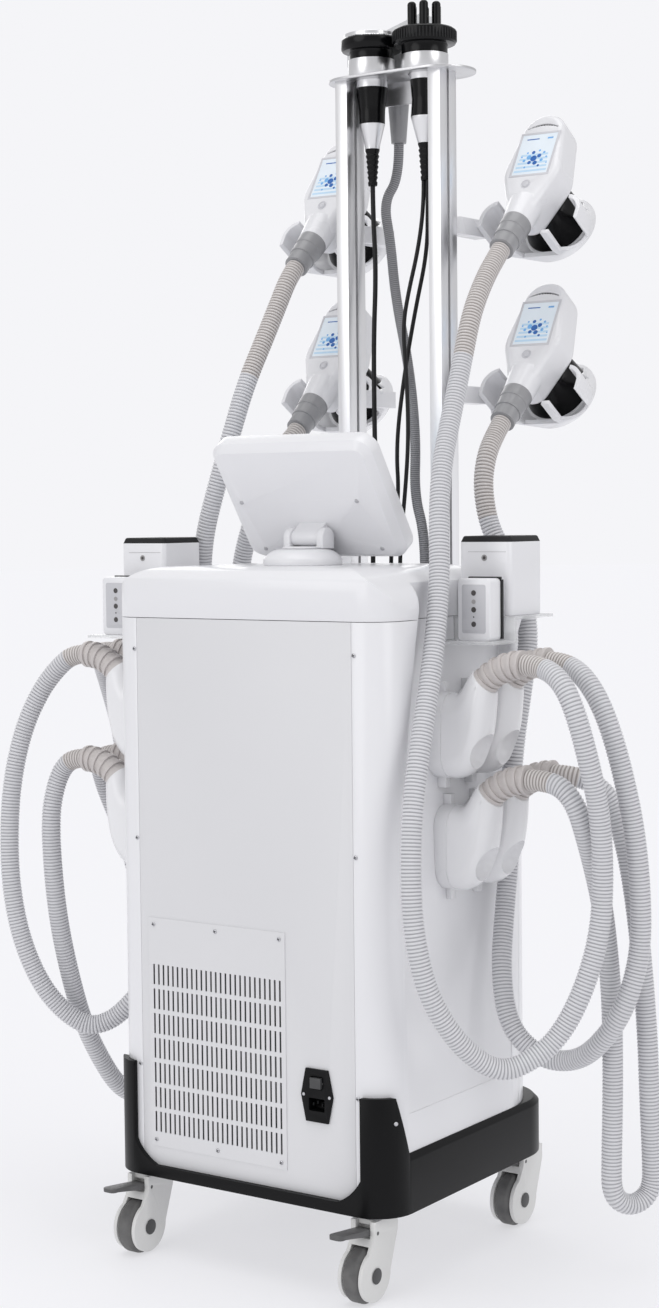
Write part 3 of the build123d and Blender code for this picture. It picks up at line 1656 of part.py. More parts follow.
coupling_ends = {}
for place, name in zip(handle_places, handle_names):
    coupling_ends[name] = Plane(place * coupling_spot * Pos(0, 0, coupling_length))
plug_ends = [Plane(place * sleeve_end.location) for place in plug_places]
(
    right_upper_near,
    right_upper_far,
    right_lower_near,
    right_lower_far,
    left_upper_near,
    left_upper_far,
    left_lower_near,
    left_lower_far,
) = plug_ends
upper_right_hose_route = (
    (-178, -73, 1334),
    (-181, -35, 1286),
    (-186, -1, 1217),
    (-192, 36, 1147),
    (-202, 78, 1081),
    (-215, 107, 1010),
    (-229, 128, 935),
    (-239, 155, 861),
    (-247, 186, 790),
    (-253, 218, 718),
    (-257, 243, 643),
    (-261, 255, 566),
    (-268, 260, 487),
    (-283, 252, 411),
    (-306, 226, 353),
    (-327, 199, 320),
    (-348, 176, 306),
    (-372, 153, 316),
    (-400, 125, 344),
    (-427, 108, 404),
    (-442, 89, 479),
    (-446, 88, 557),
    (-446, 97, 636),
    (-439, 117, 710),
    (-426, 126, 768),
    (-404, 121, 804),
)
upper_right_hose = tube(
    coupling_ends["upper_right"],
    upper_right_hose_route,
    right_upper_near,
    hose_radius,
    hose_lead,
)
write(upper_right_hose, "upper_right_hose")

lower_right_hose_route = (
    (-181, -73, 1095),
    (-183, -59, 1050),
    (-197, -57, 989),
    (-236, -60, 937),
    (-250, -72, 857),
    (-252, -49, 783),
    (-251, -27, 707),
    (-243, -28, 629),
    (-242, -27, 552),
    (-247, -3, 474),
    (-260, 31, 399),
    (-281, 46, 329),
    (-324, 36, 291),
    (-368, 33, 291),
    (-411, 46, 315),
    (-454, 47, 371),
    (-470, 31, 446),
    (-472, 35, 524),
    (-468, 42, 603),
    (-457, 53, 680),
    (-438, 61, 753),
    (-406, 53, 800),
)
lower_right_hose = tube(
    coupling_ends["lower_right"],
    lower_right_hose_route,
    right_upper_far,
    hose_radius,
    hose_lead,
)
write(lower_right_hose, "lower_right_hose")

right_loop_hose_route = (
    (-390, 93, 664),
    (-409, 91, 640),
    (-415, 80, 606),
    (-416, 58, 560),
    (-417, 36, 505),
    (-417, 20, 438),
    (-418, 12, 370),
    (-417, 8, 299),
    (-417, 9, 230),
    (-416, 10, 166),
    (-416, 11, 112),
    (-433, -16, 94),
    (-450, -42, 112),
    (-450, -40, 166),
    (-449, -35, 237),
    (-446, -36, 315),
    (-441, -34, 396),
    (-438, -24, 476),
    (-431, -15, 551),
    (-421, -7, 605),
    (-408, -4, 641),
    (-387, 9, 663),
)
right_loop_hose = tube(
    right_lower_near,
    right_loop_hose_route,
    right_lower_far,
    hose_radius,
    loop_lead,
)
write(right_loop_hose, "right_loop_hose")

upper_left_hose_route = (
    (178, -83, 1326),
    (181, -52, 1274),
    (187, -13, 1207),
    (197, 11, 1133),
    (213, 27, 1058),
    (238, 27, 983),
    (254, 12, 908),
    (252, 3, 830),
    (249, 2, 751),
    (249, 5, 673),
    (249, 12, 594),
    (252, 28, 517),
    (257, 53, 443),
    (268, 90, 374),
    (294, 129, 320),
    (325, 147, 285),
    (355, 166, 277),
    (381, 184, 296),
    (408, 205, 337),
    (431, 221, 404),
    (445, 226, 481),
    (451, 222, 560),
    (448, 216, 638),
    (438, 200, 713),
    (417, 185, 767),
    (391, 177, 800),
)
upper_left_hose = tube(
    coupling_ends["upper_left"],
    upper_left_hose_route,
    left_upper_near,
    hose_radius,
    hose_lead,
)
write(upper_left_hose, "upper_left_hose")

lower_left_hose_route = (
    (185, -77, 1107),
    (195, -65, 1072),
    (211, -62, 1020),
    (241, -69, 953),
    (259, -80, 877),
    (258, -78, 798),
    (256, -74, 719),
    (254, -67, 640),
    (253, -59, 561),
    (255, -52, 483),
    (264, -45, 405),
    (280, -39, 345),
    (304, -35, 305),
    (336, -33, 290),
    (369, -31, 304),
    (393, -29, 342),
    (409, -28, 400),
    (417, -26, 470),
    (421, -21, 548),
    (420, -10, 625),
    (417, 8, 700),
    (411, 40, 764),
    (396, 74, 803),
    (376, 96, 818),
)
lower_left_hose = tube(
    coupling_ends["lower_left"],
    lower_left_hose_route,
    left_upper_far,
    hose_radius,
    hose_lead,
)
write(lower_left_hose, "lower_left_hose")

left_loop_hose_route = (
    (384, 177, 656),
    (394, 184, 626),
    (397, 192, 583),
    (396, 190, 507),
    (396, 179, 428),
    (395, 159, 350),
    (392, 135, 275),
    (387, 108, 221),
    (378, 76, 168),
    (370, 42, 146),
    (363, 10, 160),
    (361, -4, 200),
    (362, -2, 262),
    (366, 3, 345),
    (372, 12, 430),
    (380, 31, 512),
    (389, 57, 578),
    (391, 78, 620),
    (384, 97, 653),
)
left_loop_hose = tube(left_lower_near, left_loop_hose_route, left_lower_far, hose_radius, loop_lead)
write(left_loop_hose, "left_loop_hose")

relief_z = plate_top_z - hanger_drop - relief_length
gland_z = column_foot_z + gland_height
vacuum_tail_z = plate_top_z - vacuum_grip_length
down = (0, 0, -1)
cavitation_cable_route = (
    (36, -130, 1369),
    (38, -125, 1269),
    (34, -119, 1164),
    (29, -113, 1064),
)
cavitation_cable_exit = Plane(origin=(cavitation_x, hanger_y, relief_z), z_dir=down)
cavitation_cable_gland = Plane(origin=(*cavitation_gland, gland_z), z_dir=(0, 0, 1))
cavitation_cable = tube(
    cavitation_cable_exit,
    cavitation_cable_route,
    cavitation_cable_gland,
    cable_radius,
    cable_lead,
)
write(cavitation_cable, "cavitation_cable")

vacuum_hose_route = (
    (58, -185, 1475),
    (43, -180, 1416),
    (25, -164, 1333),
    (-11, -144, 1228),
    (-33, -126, 1123),
    (-31, -123, 1044),
)
vacuum_hose_exit = Plane(origin=(vacuum_x, vacuum_y, vacuum_tail_z), z_dir=down)
vacuum_hose_gland = Plane(origin=(*vacuum_gland, gland_z), z_dir=(0, 0, 1))
vacuum_hose = tube(
    vacuum_hose_exit,
    vacuum_hose_route,
    vacuum_hose_gland,
    vacuum_hose_radius,
    vacuum_hose_lead,
)
write(vacuum_hose, "vacuum_hose")

multipole_lead_1_route = (
    (-42, -121, 1392),
    (-31, -112, 1333),
    (-24, -107, 1284),
    (-34, -100, 1218),
    (-39, -97, 1126),
    (-31, -98, 1041),
)
multipole_lead_1_exit = Plane(origin=(multipole_x + lead_offset, hanger_y, relief_z), z_dir=down)
multipole_lead_1_gland = Plane(origin=(*lead_glands[0], gland_z), z_dir=(0, 0, 1))
multipole_lead_1 = tube(
    multipole_lead_1_exit,
    multipole_lead_1_route,
    multipole_lead_1_gland,
    lead_radius,
    lead_lead,
)
write(multipole_lead_1, "multipole_lead_1")

multipole_lead_2_route = (
    (-45, -141, 1391),
    (-30, -131, 1308),
    (-15, -122, 1210),
    (-3, -119, 1114),
    (-9, -117, 1037),
)
multipole_lead_2_exit = Plane(origin=(multipole_x - lead_offset, hanger_y, relief_z), z_dir=down)
multipole_lead_2_gland = Plane(origin=(*lead_glands[1], gland_z), z_dir=(0, 0, 1))
multipole_lead_2 = tube(
    multipole_lead_2_exit,
    multipole_lead_2_route,
    multipole_lead_2_gland,
    lead_radius,
    lead_lead,
)
write(multipole_lead_2, "multipole_lead_2")
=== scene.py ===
"""Look of the wheeled fat-freezing machine: skins, ribbed hoses, screens, studio and camera."""

import json
import logging
import math
from dataclasses import dataclass, field
from enum import Enum, IntEnum
from typing import Callable, Iterable, Sequence, TypeVar

import bmesh
import bpy
from mathutils import Matrix, Vector

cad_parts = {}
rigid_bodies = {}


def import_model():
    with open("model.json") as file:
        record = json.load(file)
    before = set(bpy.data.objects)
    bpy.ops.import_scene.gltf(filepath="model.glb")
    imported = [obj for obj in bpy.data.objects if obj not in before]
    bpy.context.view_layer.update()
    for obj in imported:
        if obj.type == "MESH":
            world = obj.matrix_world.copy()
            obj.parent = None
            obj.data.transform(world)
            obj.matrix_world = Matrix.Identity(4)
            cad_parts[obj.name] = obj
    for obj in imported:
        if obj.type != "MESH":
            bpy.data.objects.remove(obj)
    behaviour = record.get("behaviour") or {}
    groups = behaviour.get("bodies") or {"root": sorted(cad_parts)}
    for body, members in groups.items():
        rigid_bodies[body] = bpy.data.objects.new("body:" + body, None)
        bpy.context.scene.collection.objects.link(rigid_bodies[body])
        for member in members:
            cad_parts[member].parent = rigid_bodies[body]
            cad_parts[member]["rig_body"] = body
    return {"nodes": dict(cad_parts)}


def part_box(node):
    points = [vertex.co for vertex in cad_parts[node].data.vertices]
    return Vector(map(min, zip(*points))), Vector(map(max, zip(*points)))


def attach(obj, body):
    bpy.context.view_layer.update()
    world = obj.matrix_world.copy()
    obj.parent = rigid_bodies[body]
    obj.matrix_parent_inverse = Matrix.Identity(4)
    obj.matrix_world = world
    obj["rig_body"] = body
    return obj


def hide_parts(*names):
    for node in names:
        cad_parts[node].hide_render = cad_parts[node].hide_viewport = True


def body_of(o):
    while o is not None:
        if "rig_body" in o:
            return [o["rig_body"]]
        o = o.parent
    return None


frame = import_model()

MM = 0.001
UP = Vector((0, 0, 1))
WELD = 2e-6
FLAT_ANGLE = math.radians(0.3)
SHARP_ANGLE = math.radians(38)
SLAB_ANGLE = math.radians(50)
log = logging.getLogger("machine")

Point = tuple[float, float, float]
Color = tuple[float, float, float]
Value = float | bpy.types.NodeSocket
Sorter = Callable[[Vector, Vector], int]
Item = TypeVar("Item")


class Lay(Enum):
    """How a cord lies: all of this machine's hang between fixed ends."""

    HANGING = "hanging"


class Axis(Enum):
    """Direction that a metal's brushing runs along, by its place in a vector."""

    ALONG_X = 0
    ALONG_Z = 2


class Ink(IntEnum):
    """Material index of each colour of a screen's page."""

    PAPER = 0
    TINT = 1
    DARK = 2
    PALE = 3


class Print(IntEnum):
    """Material index of each colour of an applicator's face."""

    MEMBRANE = 0
    SPOT = 1
    RING = 2


# finishes


@dataclass(frozen=True)
class Finish:
    """One finish of the machine: colour, gloss and surface texture."""

    name: str
    color: Color
    rough: float
    metal: float = 0.0
    coat: float = 0.0
    mottle: float = 0.03
    mottle_scale: float = 9.0
    grain: float = 0.00004
    grain_scale: float = 1400.0
    rough_spread: float = 0.05
    brush: Axis | None = None
    dust: float = 0.0
    alpha: float = 1.0
    glow: float = 0.0
    specular: float = 0.5


class Palette:
    """Shader node groups and the materials made with them."""

    COAT_ROUGHNESS = 0.12
    STREAK_ACROSS = 300.0
    STREAK_ALONG = 6.0
    SKIN_OUTPUTS = (
        ("Color", "NodeSocketColor"),
        ("Roughness", "NodeSocketFloat"),
        ("Normal", "NodeSocketVector"),
    )

    def __init__(self) -> None:
        """Build the shared groups once."""
        self.surface = self._surface_group()
        self.brushed = self._brushed_group()
        self.dust = self._dust_group()
        self.made: dict[str, bpy.types.Material] = {}

    @staticmethod
    def _group(
        name: str, inputs: Sequence[tuple[str, str, object]], outputs: Sequence[tuple[str, str]]
    ) -> tuple[bpy.types.NodeTree, bpy.types.Node, bpy.types.Node]:
        """Start a node group.

        Args:
            name: the group's name.
            inputs: name, socket type and default of each input.
            outputs: name and socket type of each output.

        Returns:
            The group, its input node and its output node.
        """
        group = bpy.data.node_groups.new(name, "ShaderNodeTree")
        for label, kind, value in inputs:
            socket = group.interface.new_socket(name=label, in_out="INPUT", socket_type=kind)
            socket.default_value = value
        for label, kind in outputs:
            group.interface.new_socket(name=label, in_out="OUTPUT", socket_type=kind)
        source = group.nodes.new("NodeGroupInput")
        sink = group.nodes.new("NodeGroupOutput")
        return group, source, sink

    @staticmethod
    def _feed(group: bpy.types.NodeTree, socket: bpy.types.NodeSocket, value: Value) -> None:
        """Set a socket to a number, or link it to another socket.

        Args:
            group: the node group.
            socket: the input socket.
            value: the number or the socket that it gets.
        """
        if isinstance(value, (int, float)):
            socket.default_value = value
        else:
            group.links.new(value, socket)

    def _noise(
        self, group: bpy.types.NodeTree, scale: Value, detail: float, place: bpy.types.NodeSocket
    ) -> bpy.types.NodeSocket:
        """Add a noise texture.

        Args:
            group: the node group.
            scale: its scale.
            detail: its octaves.
            place: socket of its coordinates.

        Returns:
            The socket of its value.
        """
        noise = group.nodes.new("ShaderNodeTexNoise")
        self._feed(group, noise.inputs["Scale"], scale)
        self._feed(group, noise.inputs["Detail"], detail)
        group.links.new(place, noise.inputs["Vector"])
        return noise.outputs["Fac"]

    def _math(
        self, group: bpy.types.NodeTree, kind: str, first: Value, second: Value
    ) -> bpy.types.NodeSocket:
        """Add a math node.

        Args:
            group: the node group.
            kind: its operation.
            first: its first value.
            second: its second value.

        Returns:
            The socket of its result.
        """
        node = group.nodes.new("ShaderNodeMath")
        node.operation = kind
        self._feed(group, node.inputs[0], first)
        self._feed(group, node.inputs[1], second)
        return node.outputs[0]

    def _swing(
        self, group: bpy.types.NodeTree, fac: bpy.types.NodeSocket, amount: Value
    ) -> bpy.types.NodeSocket:
        """Swing of a noise value about its middle, times an amount."""
        return self._math(group, "MULTIPLY", self._math(group, "SUBTRACT", fac, 0.5), amount)

    def _tint(
        self,
        group: bpy.types.NodeTree,
        color: bpy.types.NodeSocket,
        amount: bpy.types.NodeSocket,
        fac: bpy.types.NodeSocket,
    ) -> bpy.types.NodeSocket:
        """Darken and lighten a colour by a noise value.

        Args:
            group: the node group.
            color: socket of the colour.
            amount: socket of the largest change, as a share.
            fac: socket of the noise value.

        Returns:
            The socket of the changed colour.
        """
        swing = self._swing(group, fac, amount)
        gain = self._math(group, "ADD", self._math(group, "MULTIPLY", swing, 2.0), 1.0)
        mix = group.nodes.new("ShaderNodeVectorMath")
        mix.operation = "SCALE"
        group.links.new(color, mix.inputs[0])
        group.links.new(gain, mix.inputs["Scale"])
        return mix.outputs[0]

    @staticmethod
    def _bump(
        group: bpy.types.NodeTree, height: bpy.types.NodeSocket, strength: float
    ) -> bpy.types.NodeSocket:
        """Add a bump node for heights in metres.

        Args:
            group: the node group.
            height: socket of the height.
            strength: its strength.

        Returns:
            The socket of its normal.
        """
        bump = group.nodes.new("ShaderNodeBump")
        bump.inputs["Distance"].default_value = 1.0
        bump.inputs["Strength"].default_value = strength
        group.links.new(height, bump.inputs["Height"])
        return bump.outputs[0]

    def _surface_group(self) -> bpy.types.NodeTree:
        """Moulded or painted skin: soft mottling, fine grain, uneven gloss.

        Returns:
            The group.
        """
        group, source, sink = self._group(
            "moulded_skin",
            (
                ("Color", "NodeSocketColor", (1, 1, 1, 1)),
                ("Mottle", "NodeSocketFloat", 0.03),
                ("Mottle Scale", "NodeSocketFloat", 9.0),
                ("Roughness", "NodeSocketFloat", 0.4),
                ("Spread", "NodeSocketFloat", 0.05),
                ("Grain", "NodeSocketFloat", 0.00004),
                ("Grain Scale", "NodeSocketFloat", 1400.0),
            ),
            self.SKIN_OUTPUTS,
        )
        given = source.outputs
        place = group.nodes.new("ShaderNodeTexCoord").outputs["Object"]
        cloud = self._noise(group, given["Mottle Scale"], 3.0, place)
        fine = self._noise(group, given["Grain Scale"], 2.0, place)
        tint = self._tint(group, given["Color"], given["Mottle"], cloud)
        spread = self._swing(group, cloud, given["Spread"])
        rough = self._math(group, "ADD", given["Roughness"], spread)
        height = self._math(group, "MULTIPLY", fine, given["Grain"])
        group.links.new(tint, sink.inputs["Color"])
        group.links.new(rough, sink.inputs["Roughness"])
        group.links.new(self._bump(group, height, 0.6), sink.inputs["Normal"])
        return group

    def _brushed_group(self) -> bpy.types.NodeTree:
        """Drawn or turned metal: streaks stretched along one direction.

        Returns:
            The group.
        """
        stretch = (self.STREAK_ACROSS, self.STREAK_ACROSS, self.STREAK_ALONG)
        group, source, sink = self._group(
            "drawn_metal",
            (
                ("Color", "NodeSocketColor", (1, 1, 1, 1)),
                ("Streak", "NodeSocketFloat", 0.06),
                ("Roughness", "NodeSocketFloat", 0.3),
                ("Stretch", "NodeSocketVector", stretch),
            ),
            self.SKIN_OUTPUTS,
        )
        given = source.outputs
        place = group.nodes.new("ShaderNodeTexCoord").outputs["Object"]
        squeeze = group.nodes.new("ShaderNodeVectorMath")
        squeeze.operation = "MULTIPLY"
        group.links.new(place, squeeze.inputs[0])
        group.links.new(given["Stretch"], squeeze.inputs[1])
        streaks = self._noise(group, 2.0, 3.0, squeeze.outputs[0])
        tint = self._tint(group, given["Color"], given["Streak"], streaks)
        rough = self._math(group, "ADD", given["Roughness"], self._swing(group, streaks, 0.18))
        height = self._math(group, "MULTIPLY", streaks, 0.00003)
        group.links.new(tint, sink.inputs["Color"])
        group.links.new(rough, sink.inputs["Roughness"])
        group.links.new(self._bump(group, height, 0.25), sink.inputs["Normal"])
        return group

    def _dust_group(self) -> bpy.types.NodeTree:
        """Pale dust that thins out above the floor.

        Returns:
            The group.
        """
        group, source, sink = self._group(
            "floor_dust",
            (
                ("Color", "NodeSocketColor", (1, 1, 1, 1)),
                ("Amount", "NodeSocketFloat", 0.1),
                ("Reach", "NodeSocketFloat", 0.25),
            ),
            (("Color", "NodeSocketColor"),),
        )
        given = source.outputs
        place = group.nodes.new("ShaderNodeTexCoord").outputs["Object"]
        split = group.nodes.new("ShaderNodeSeparateXYZ")
        group.links.new(place, split.inputs[0])
        fade = group.nodes.new("ShaderNodeMapRange")
        fade.inputs["To Min"].default_value = 1.0
        fade.inputs["To Max"].default_value = 0.0
        group.links.new(split.outputs["Z"], fade.inputs["Value"])
        group.links.new(given["Reach"], fade.inputs["From Max"])
        speck = self._noise(group, 60.0, 5.0, place)
        mask = self._math(group, "MULTIPLY", fade.outputs[0], speck)
        mix = group.nodes.new("ShaderNodeMix")
        mix.data_type = "RGBA"
        mix.inputs["B"].default_value = (0.55, 0.54, 0.52, 1)
        cover = self._math(group, "MULTIPLY", mask, given["Amount"])
        group.links.new(cover, mix.inputs["Factor"])
        group.links.new(given["Color"], mix.inputs["A"])
        group.links.new(mix.outputs["Result"], sink.inputs["Color"])
        return group

    def __call__(self, finish: Finish) -> bpy.types.Material:
        """Material of a finish, made once.

        Args:
            finish: the finish.

        Returns:
            The material.
        """
        if finish.name in self.made:
            return self.made[finish.name]
        material = bpy.data.materials.new(finish.name)
        material.use_nodes = True
        tree = material.node_tree
        shader = tree.nodes["Principled BSDF"]
        skin = tree.nodes.new("ShaderNodeGroup")
        if finish.brush is None:
            skin.node_tree = self.surface
            values = {
                "Mottle": finish.mottle,
                "Mottle Scale": finish.mottle_scale,
                "Spread": finish.rough_spread,
                "Grain": finish.grain,
                "Grain Scale": finish.grain_scale,
            }
        else:
            skin.node_tree = self.brushed
            stretch = [self.STREAK_ACROSS] * 3
            stretch[finish.brush.value] = self.STREAK_ALONG
            values = {"Stretch": stretch, "Streak": finish.mottle}
        skin.inputs["Color"].default_value = (*finish.color, 1)
        skin.inputs["Roughness"].default_value = finish.rough
        for label, value in values.items():
            skin.inputs[label].default_value = value
        color = skin.outputs["Color"]
        if finish.dust > 0:
            dusty = tree.nodes.new("ShaderNodeGroup")
            dusty.node_tree = self.dust
            dusty.inputs["Amount"].default_value = finish.dust
            tree.links.new(color, dusty.inputs["Color"])
            color = dusty.outputs["Color"]
        tree.links.new(color, shader.inputs["Base Color"])
        tree.links.new(skin.outputs["Roughness"], shader.inputs["Roughness"])
        tree.links.new(skin.outputs["Normal"], shader.inputs["Normal"])
        shader.inputs["Metallic"].default_value = finish.metal
        shader.inputs["Coat Weight"].default_value = finish.coat
        shader.inputs["Coat Roughness"].default_value = self.COAT_ROUGHNESS
        shader.inputs["Alpha"].default_value = finish.alpha
        shader.inputs["Specular IOR Level"].default_value = finish.specular
        if finish.glow > 0:
            tree.links.new(color, shader.inputs["Emission Color"])
            shader.inputs["Emission Strength"].default_value = finish.glow
        material.diffuse_color = (*finish.color, finish.alpha)
        self.made[finish.name] = material
        return material


WHITE = Finish("white_gloss_shell", (0.80, 0.80, 0.82), 0.30, coat=0.25, mottle=0.012)
SHEET = Finish(
    "white_powder_coat", (0.70, 0.70, 0.715), 0.42, mottle=0.012, grain=0.00003, grain_scale=2200.0
)
HANDLE_WHITE = Finish("white_handle_shell", (0.80, 0.80, 0.82), 0.28, coat=0.3, mottle=0.01)
BEZEL = Finish("grey_bezel", (0.62, 0.62, 0.65), 0.4, mottle=0.01)
BASE = Finish(
    "black_base_plastic", (0.0035, 0.0035, 0.004), 0.38,
    mottle=0.15, grain=0.00005, grain_scale=900.0, dust=0.003, specular=0.16,
)
BLACK = Finish(
    "black_gloss_plastic", (0.002, 0.002, 0.0025), 0.22, coat=0.05, mottle=0.1, specular=0.2
)
BLACK_SATIN = Finish("black_satin_plastic", (0.010, 0.010, 0.011), 0.45, mottle=0.1, specular=0.3)
CHARCOAL = Finish("charcoal_cap_plastic", (0.05, 0.05, 0.052), 0.4, mottle=0.06)
FORK = Finish("fork_nylon", (0.70, 0.70, 0.69), 0.38, mottle=0.02, dust=0.12)
TYRE = Finish(
    "tyre_rubber", (0.055, 0.055, 0.057), 0.62,
    mottle=0.1, grain=0.00015, grain_scale=700.0, dust=0.3,
)
PEDAL = Finish("pedal_nylon", (0.07, 0.07, 0.072), 0.45, mottle=0.08, dust=0.15)
SILVER = Finish(
    "turned_aluminium", (0.80, 0.80, 0.81), 0.30, metal=1.0, mottle=0.015, grain=0.00001
)
COLUMN = Finish(
    "drawn_aluminium", (0.88, 0.88, 0.89), 0.36, metal=1.0, mottle=0.05, brush=Axis.ALONG_Z
)
PLATE = Finish(
    "brushed_plate", (0.66, 0.66, 0.67), 0.33, metal=0.9, mottle=0.06, brush=Axis.ALONG_X
)
STEEL = Finish("zinc_steel", (0.55, 0.55, 0.57), 0.35, metal=1.0, mottle=0.08, brush=Axis.ALONG_X)
# near-black colour of the screws' cross recesses: painted shade
SCREW_RECESS_SHADE = Finish("screw_recess", (0.06, 0.06, 0.065), 0.5, metal=0.6)
HOSE = Finish(
    "ribbed_hose_grey", (0.68, 0.68, 0.70), 0.42, mottle=0.03, mottle_scale=30.0, specular=0.35
)
# darker colour of the grey hoses' grooves: painted shade in the recesses between the ribs
HOSE_GROOVE_SHADE = Finish("ribbed_hose_grey_groove", (0.52, 0.52, 0.54), 0.6, mottle=0.03, specular=0.2)
HOSE_WARM = Finish(
    "ribbed_hose_warm", (0.64, 0.61, 0.595), 0.44, mottle=0.03, mottle_scale=30.0, specular=0.35
)
# darker colour of the warm hose ends' grooves: painted shade in the recesses between the ribs
HOSE_WARM_GROOVE_SHADE = Finish(
    "ribbed_hose_warm_groove", (0.43, 0.40, 0.385), 0.6, mottle=0.03, specular=0.2
)
SLEEVE = Finish("sleeve_warm_grey", (0.56, 0.525, 0.51), 0.4, mottle=0.03)
COUPLING = Finish("coupling_grey", (0.30, 0.30, 0.31), 0.34, coat=0.2, mottle=0.03)
VACUUM = Finish("vacuum_hose_grey", (0.33, 0.33, 0.345), 0.42, mottle=0.05)
# darker colour of the vacuum hose's grooves: painted shade in the recesses between the ribs
VACUUM_GROOVE_SHADE = Finish("vacuum_hose_groove", (0.20, 0.20, 0.21), 0.6, mottle=0.05, specular=0.2)
CABLE = Finish("cable_black", (0.007, 0.007, 0.008), 0.42, mottle=0.1, specular=0.3)
PLUG = Finish("plug_white", (0.82, 0.82, 0.835), 0.26, coat=0.3, mottle=0.012)
DOCK = Finish("dock_white", (0.78, 0.78, 0.795), 0.30, coat=0.2, mottle=0.015)
CLEAR = Finish("clear_acrylic", (0.82, 0.83, 0.84), 0.18, mottle=0.01, grain=0.00001, alpha=0.45)
FROSTED = Finish("frosted_head", (0.66, 0.67, 0.68), 0.38, mottle=0.02)
FACE_GREY = Finish("membrane_grey", (0.56, 0.56, 0.585), 0.45, mottle=0.02)
MARK = Finish("electrode_mark", (0.06, 0.055, 0.055), 0.4, mottle=0.1)
MARK_RING = Finish("electrode_ring", (0.33, 0.32, 0.32), 0.4, mottle=0.05)
GLASS = Finish("screen_glass", (0.008, 0.009, 0.012), 0.08, coat=0.6, mottle=0.05, grain=0.0)
PAGE = Finish("screen_page", (0.76, 0.83, 0.89), 0.3, mottle=0.04, mottle_scale=40.0, glow=0.06)
PAGE_TINT = Finish(
    "screen_tint", (0.50, 0.68, 0.84), 0.3, mottle=0.08, mottle_scale=60.0, glow=0.06
)
DROP = Finish("screen_drop", (0.03, 0.13, 0.42), 0.25, mottle=0.2, mottle_scale=90.0, glow=0.08)
DROP_PALE = Finish(
    "screen_drop_pale", (0.18, 0.42, 0.75), 0.25, mottle=0.2, mottle_scale=90.0, glow=0.1
)
BOARD = Finish("circuit_board", (0.02, 0.12, 0.05), 0.4, mottle=0.3, mottle_scale=300.0)
TANK = Finish("tank_plastic", (0.55, 0.58, 0.6), 0.4, mottle=0.04)
FIN = Finish("radiator_fins", (0.03, 0.03, 0.032), 0.5, metal=0.3, mottle=0.1, brush=Axis.ALONG_Z)
FLOOR = Finish(
    "studio_floor", (0.35, 0.35, 0.36), 1.0,
    mottle=0.0, grain=0.0, rough_spread=0.0, specular=0.0, glow=1.55,
)

# shared making


@dataclass
class Workshop:
    """Makes skins of CAD nodes and new pieces, and dresses them."""

    palette: Palette
    made: list[str] = field(default_factory=list)

    def finish_object(self, piece: bpy.types.Object, body: str, *finishes: Finish) -> bpy.types.Object:
        """Give a piece its materials and its body, and report it.

        Args:
            piece: the new object.
            body: the CAD body that it rides on.
            finishes: one finish for each material index.

        Returns:
            The same object.
        """
        for finish in finishes:
            piece.data.materials.append(self.palette(finish))
        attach(piece, body)
        self.made.append(piece.name)
        log.info("piece %s rides on %s", piece.name, body)
        return piece

    @staticmethod
    def link(name: str, data: bpy.types.ID) -> bpy.types.Object:
        """Put new data into the scene as an object at the origin.

        Args:
            name: the object's name.
            data: its mesh or curve.

        Returns:
            The object.
        """
        piece = bpy.data.objects.new(name, data)
        bpy.context.scene.collection.objects.link(piece)
        return piece

    def from_bmesh(self, name: str, form: bmesh.types.BMesh, smooth: float = 35.0) -> bpy.types.Object:
        """Turn a bmesh into an object with smooth shading up to an angle.

        Args:
            name: the piece's name.
            form: the finished bmesh, which is freed.
            smooth: the largest angle in degrees that still shades smooth.

        Returns:
            The object.
        """
        mesh = bpy.data.meshes.new(name)
        form.to_mesh(mesh)
        form.free()
        mesh.shade_smooth()
        mesh.set_sharp_from_angle(angle=math.radians(smooth))
        return self.link(name, mesh)

    def skin(
        self,
        node: str,
        *finishes: Finish,
        edge: float = 0.0006,
        sorter: Sorter | None = None,
        smooth: float = 35.0,
    ) -> bpy.types.Object:
        """Replace a CAD node by a merged, softened copy of itself.

        Args:
            node: the CAD node.
            finishes: one finish for each material index.
            edge: the radius in metres that sharp edges are softened by, or 0.
            sorter: gives a face's material index from its centre and normal.
            smooth: the largest angle in degrees that still shades smooth.

        Returns:
            The new object.
        """
        form = merged(node)
        bmesh.ops.dissolve_limit(form, angle_limit=FLAT_ANGLE, verts=form.verts, edges=form.edges)
        if edge > 0:
            shared = [e for e in form.edges if len(e.link_faces) == 2]
            sharp = [e for e in shared if e.calc_face_angle(0) > SHARP_ANGLE]
            rounded(form, sharp, edge, segments=2, clamp=True)
        form.normal_update()
        for face in form.faces:
            face.material_index = sorter(face.calc_center_median(), face.normal) if sorter else 0
        piece = self.from_bmesh(f"{node}_skin", form, smooth)
        body = body_of(frame["nodes"][node])[0]
        self.finish_object(piece, body, *finishes)
        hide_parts(node)
        return piece


def merged(node: str) -> bmesh.types.BMesh:
    """Mesh of a CAD node with its loose triangles joined.

    Args:
        node: the CAD node.

    Returns:
        A bmesh, which its user frees.
    """
    form = bmesh.new()
    form.from_mesh(frame["nodes"][node].data)
    bmesh.ops.remove_doubles(form, verts=form.verts, dist=WELD)
    return form


def each_once(items: Iterable[Item]) -> list[Item]:
    """Each face or edge once, in an order that every run repeats."""
    return list(dict.fromkeys(items))


def rounded(
    form: bmesh.types.BMesh,
    edges: list[bmesh.types.BMEdge],
    radius: float,
    segments: int,
    clamp: bool = False,
) -> list[bmesh.types.BMFace]:
    """Round some of a form's edges.

    Args:
        form: the bmesh.
        edges: the edges.
        radius: their radius in metres.
        segments: faces across each rounding.
        clamp: True where a narrow place gets a smaller radius.

    Returns:
        The new faces.
    """
    made = bmesh.ops.bevel(
        form,
        geom=edges,
        offset=radius,
        segments=segments,
        profile=0.5,
        affect="EDGES",
        clamp_overlap=clamp,
        material=-1,
    )
    return list(made["faces"])


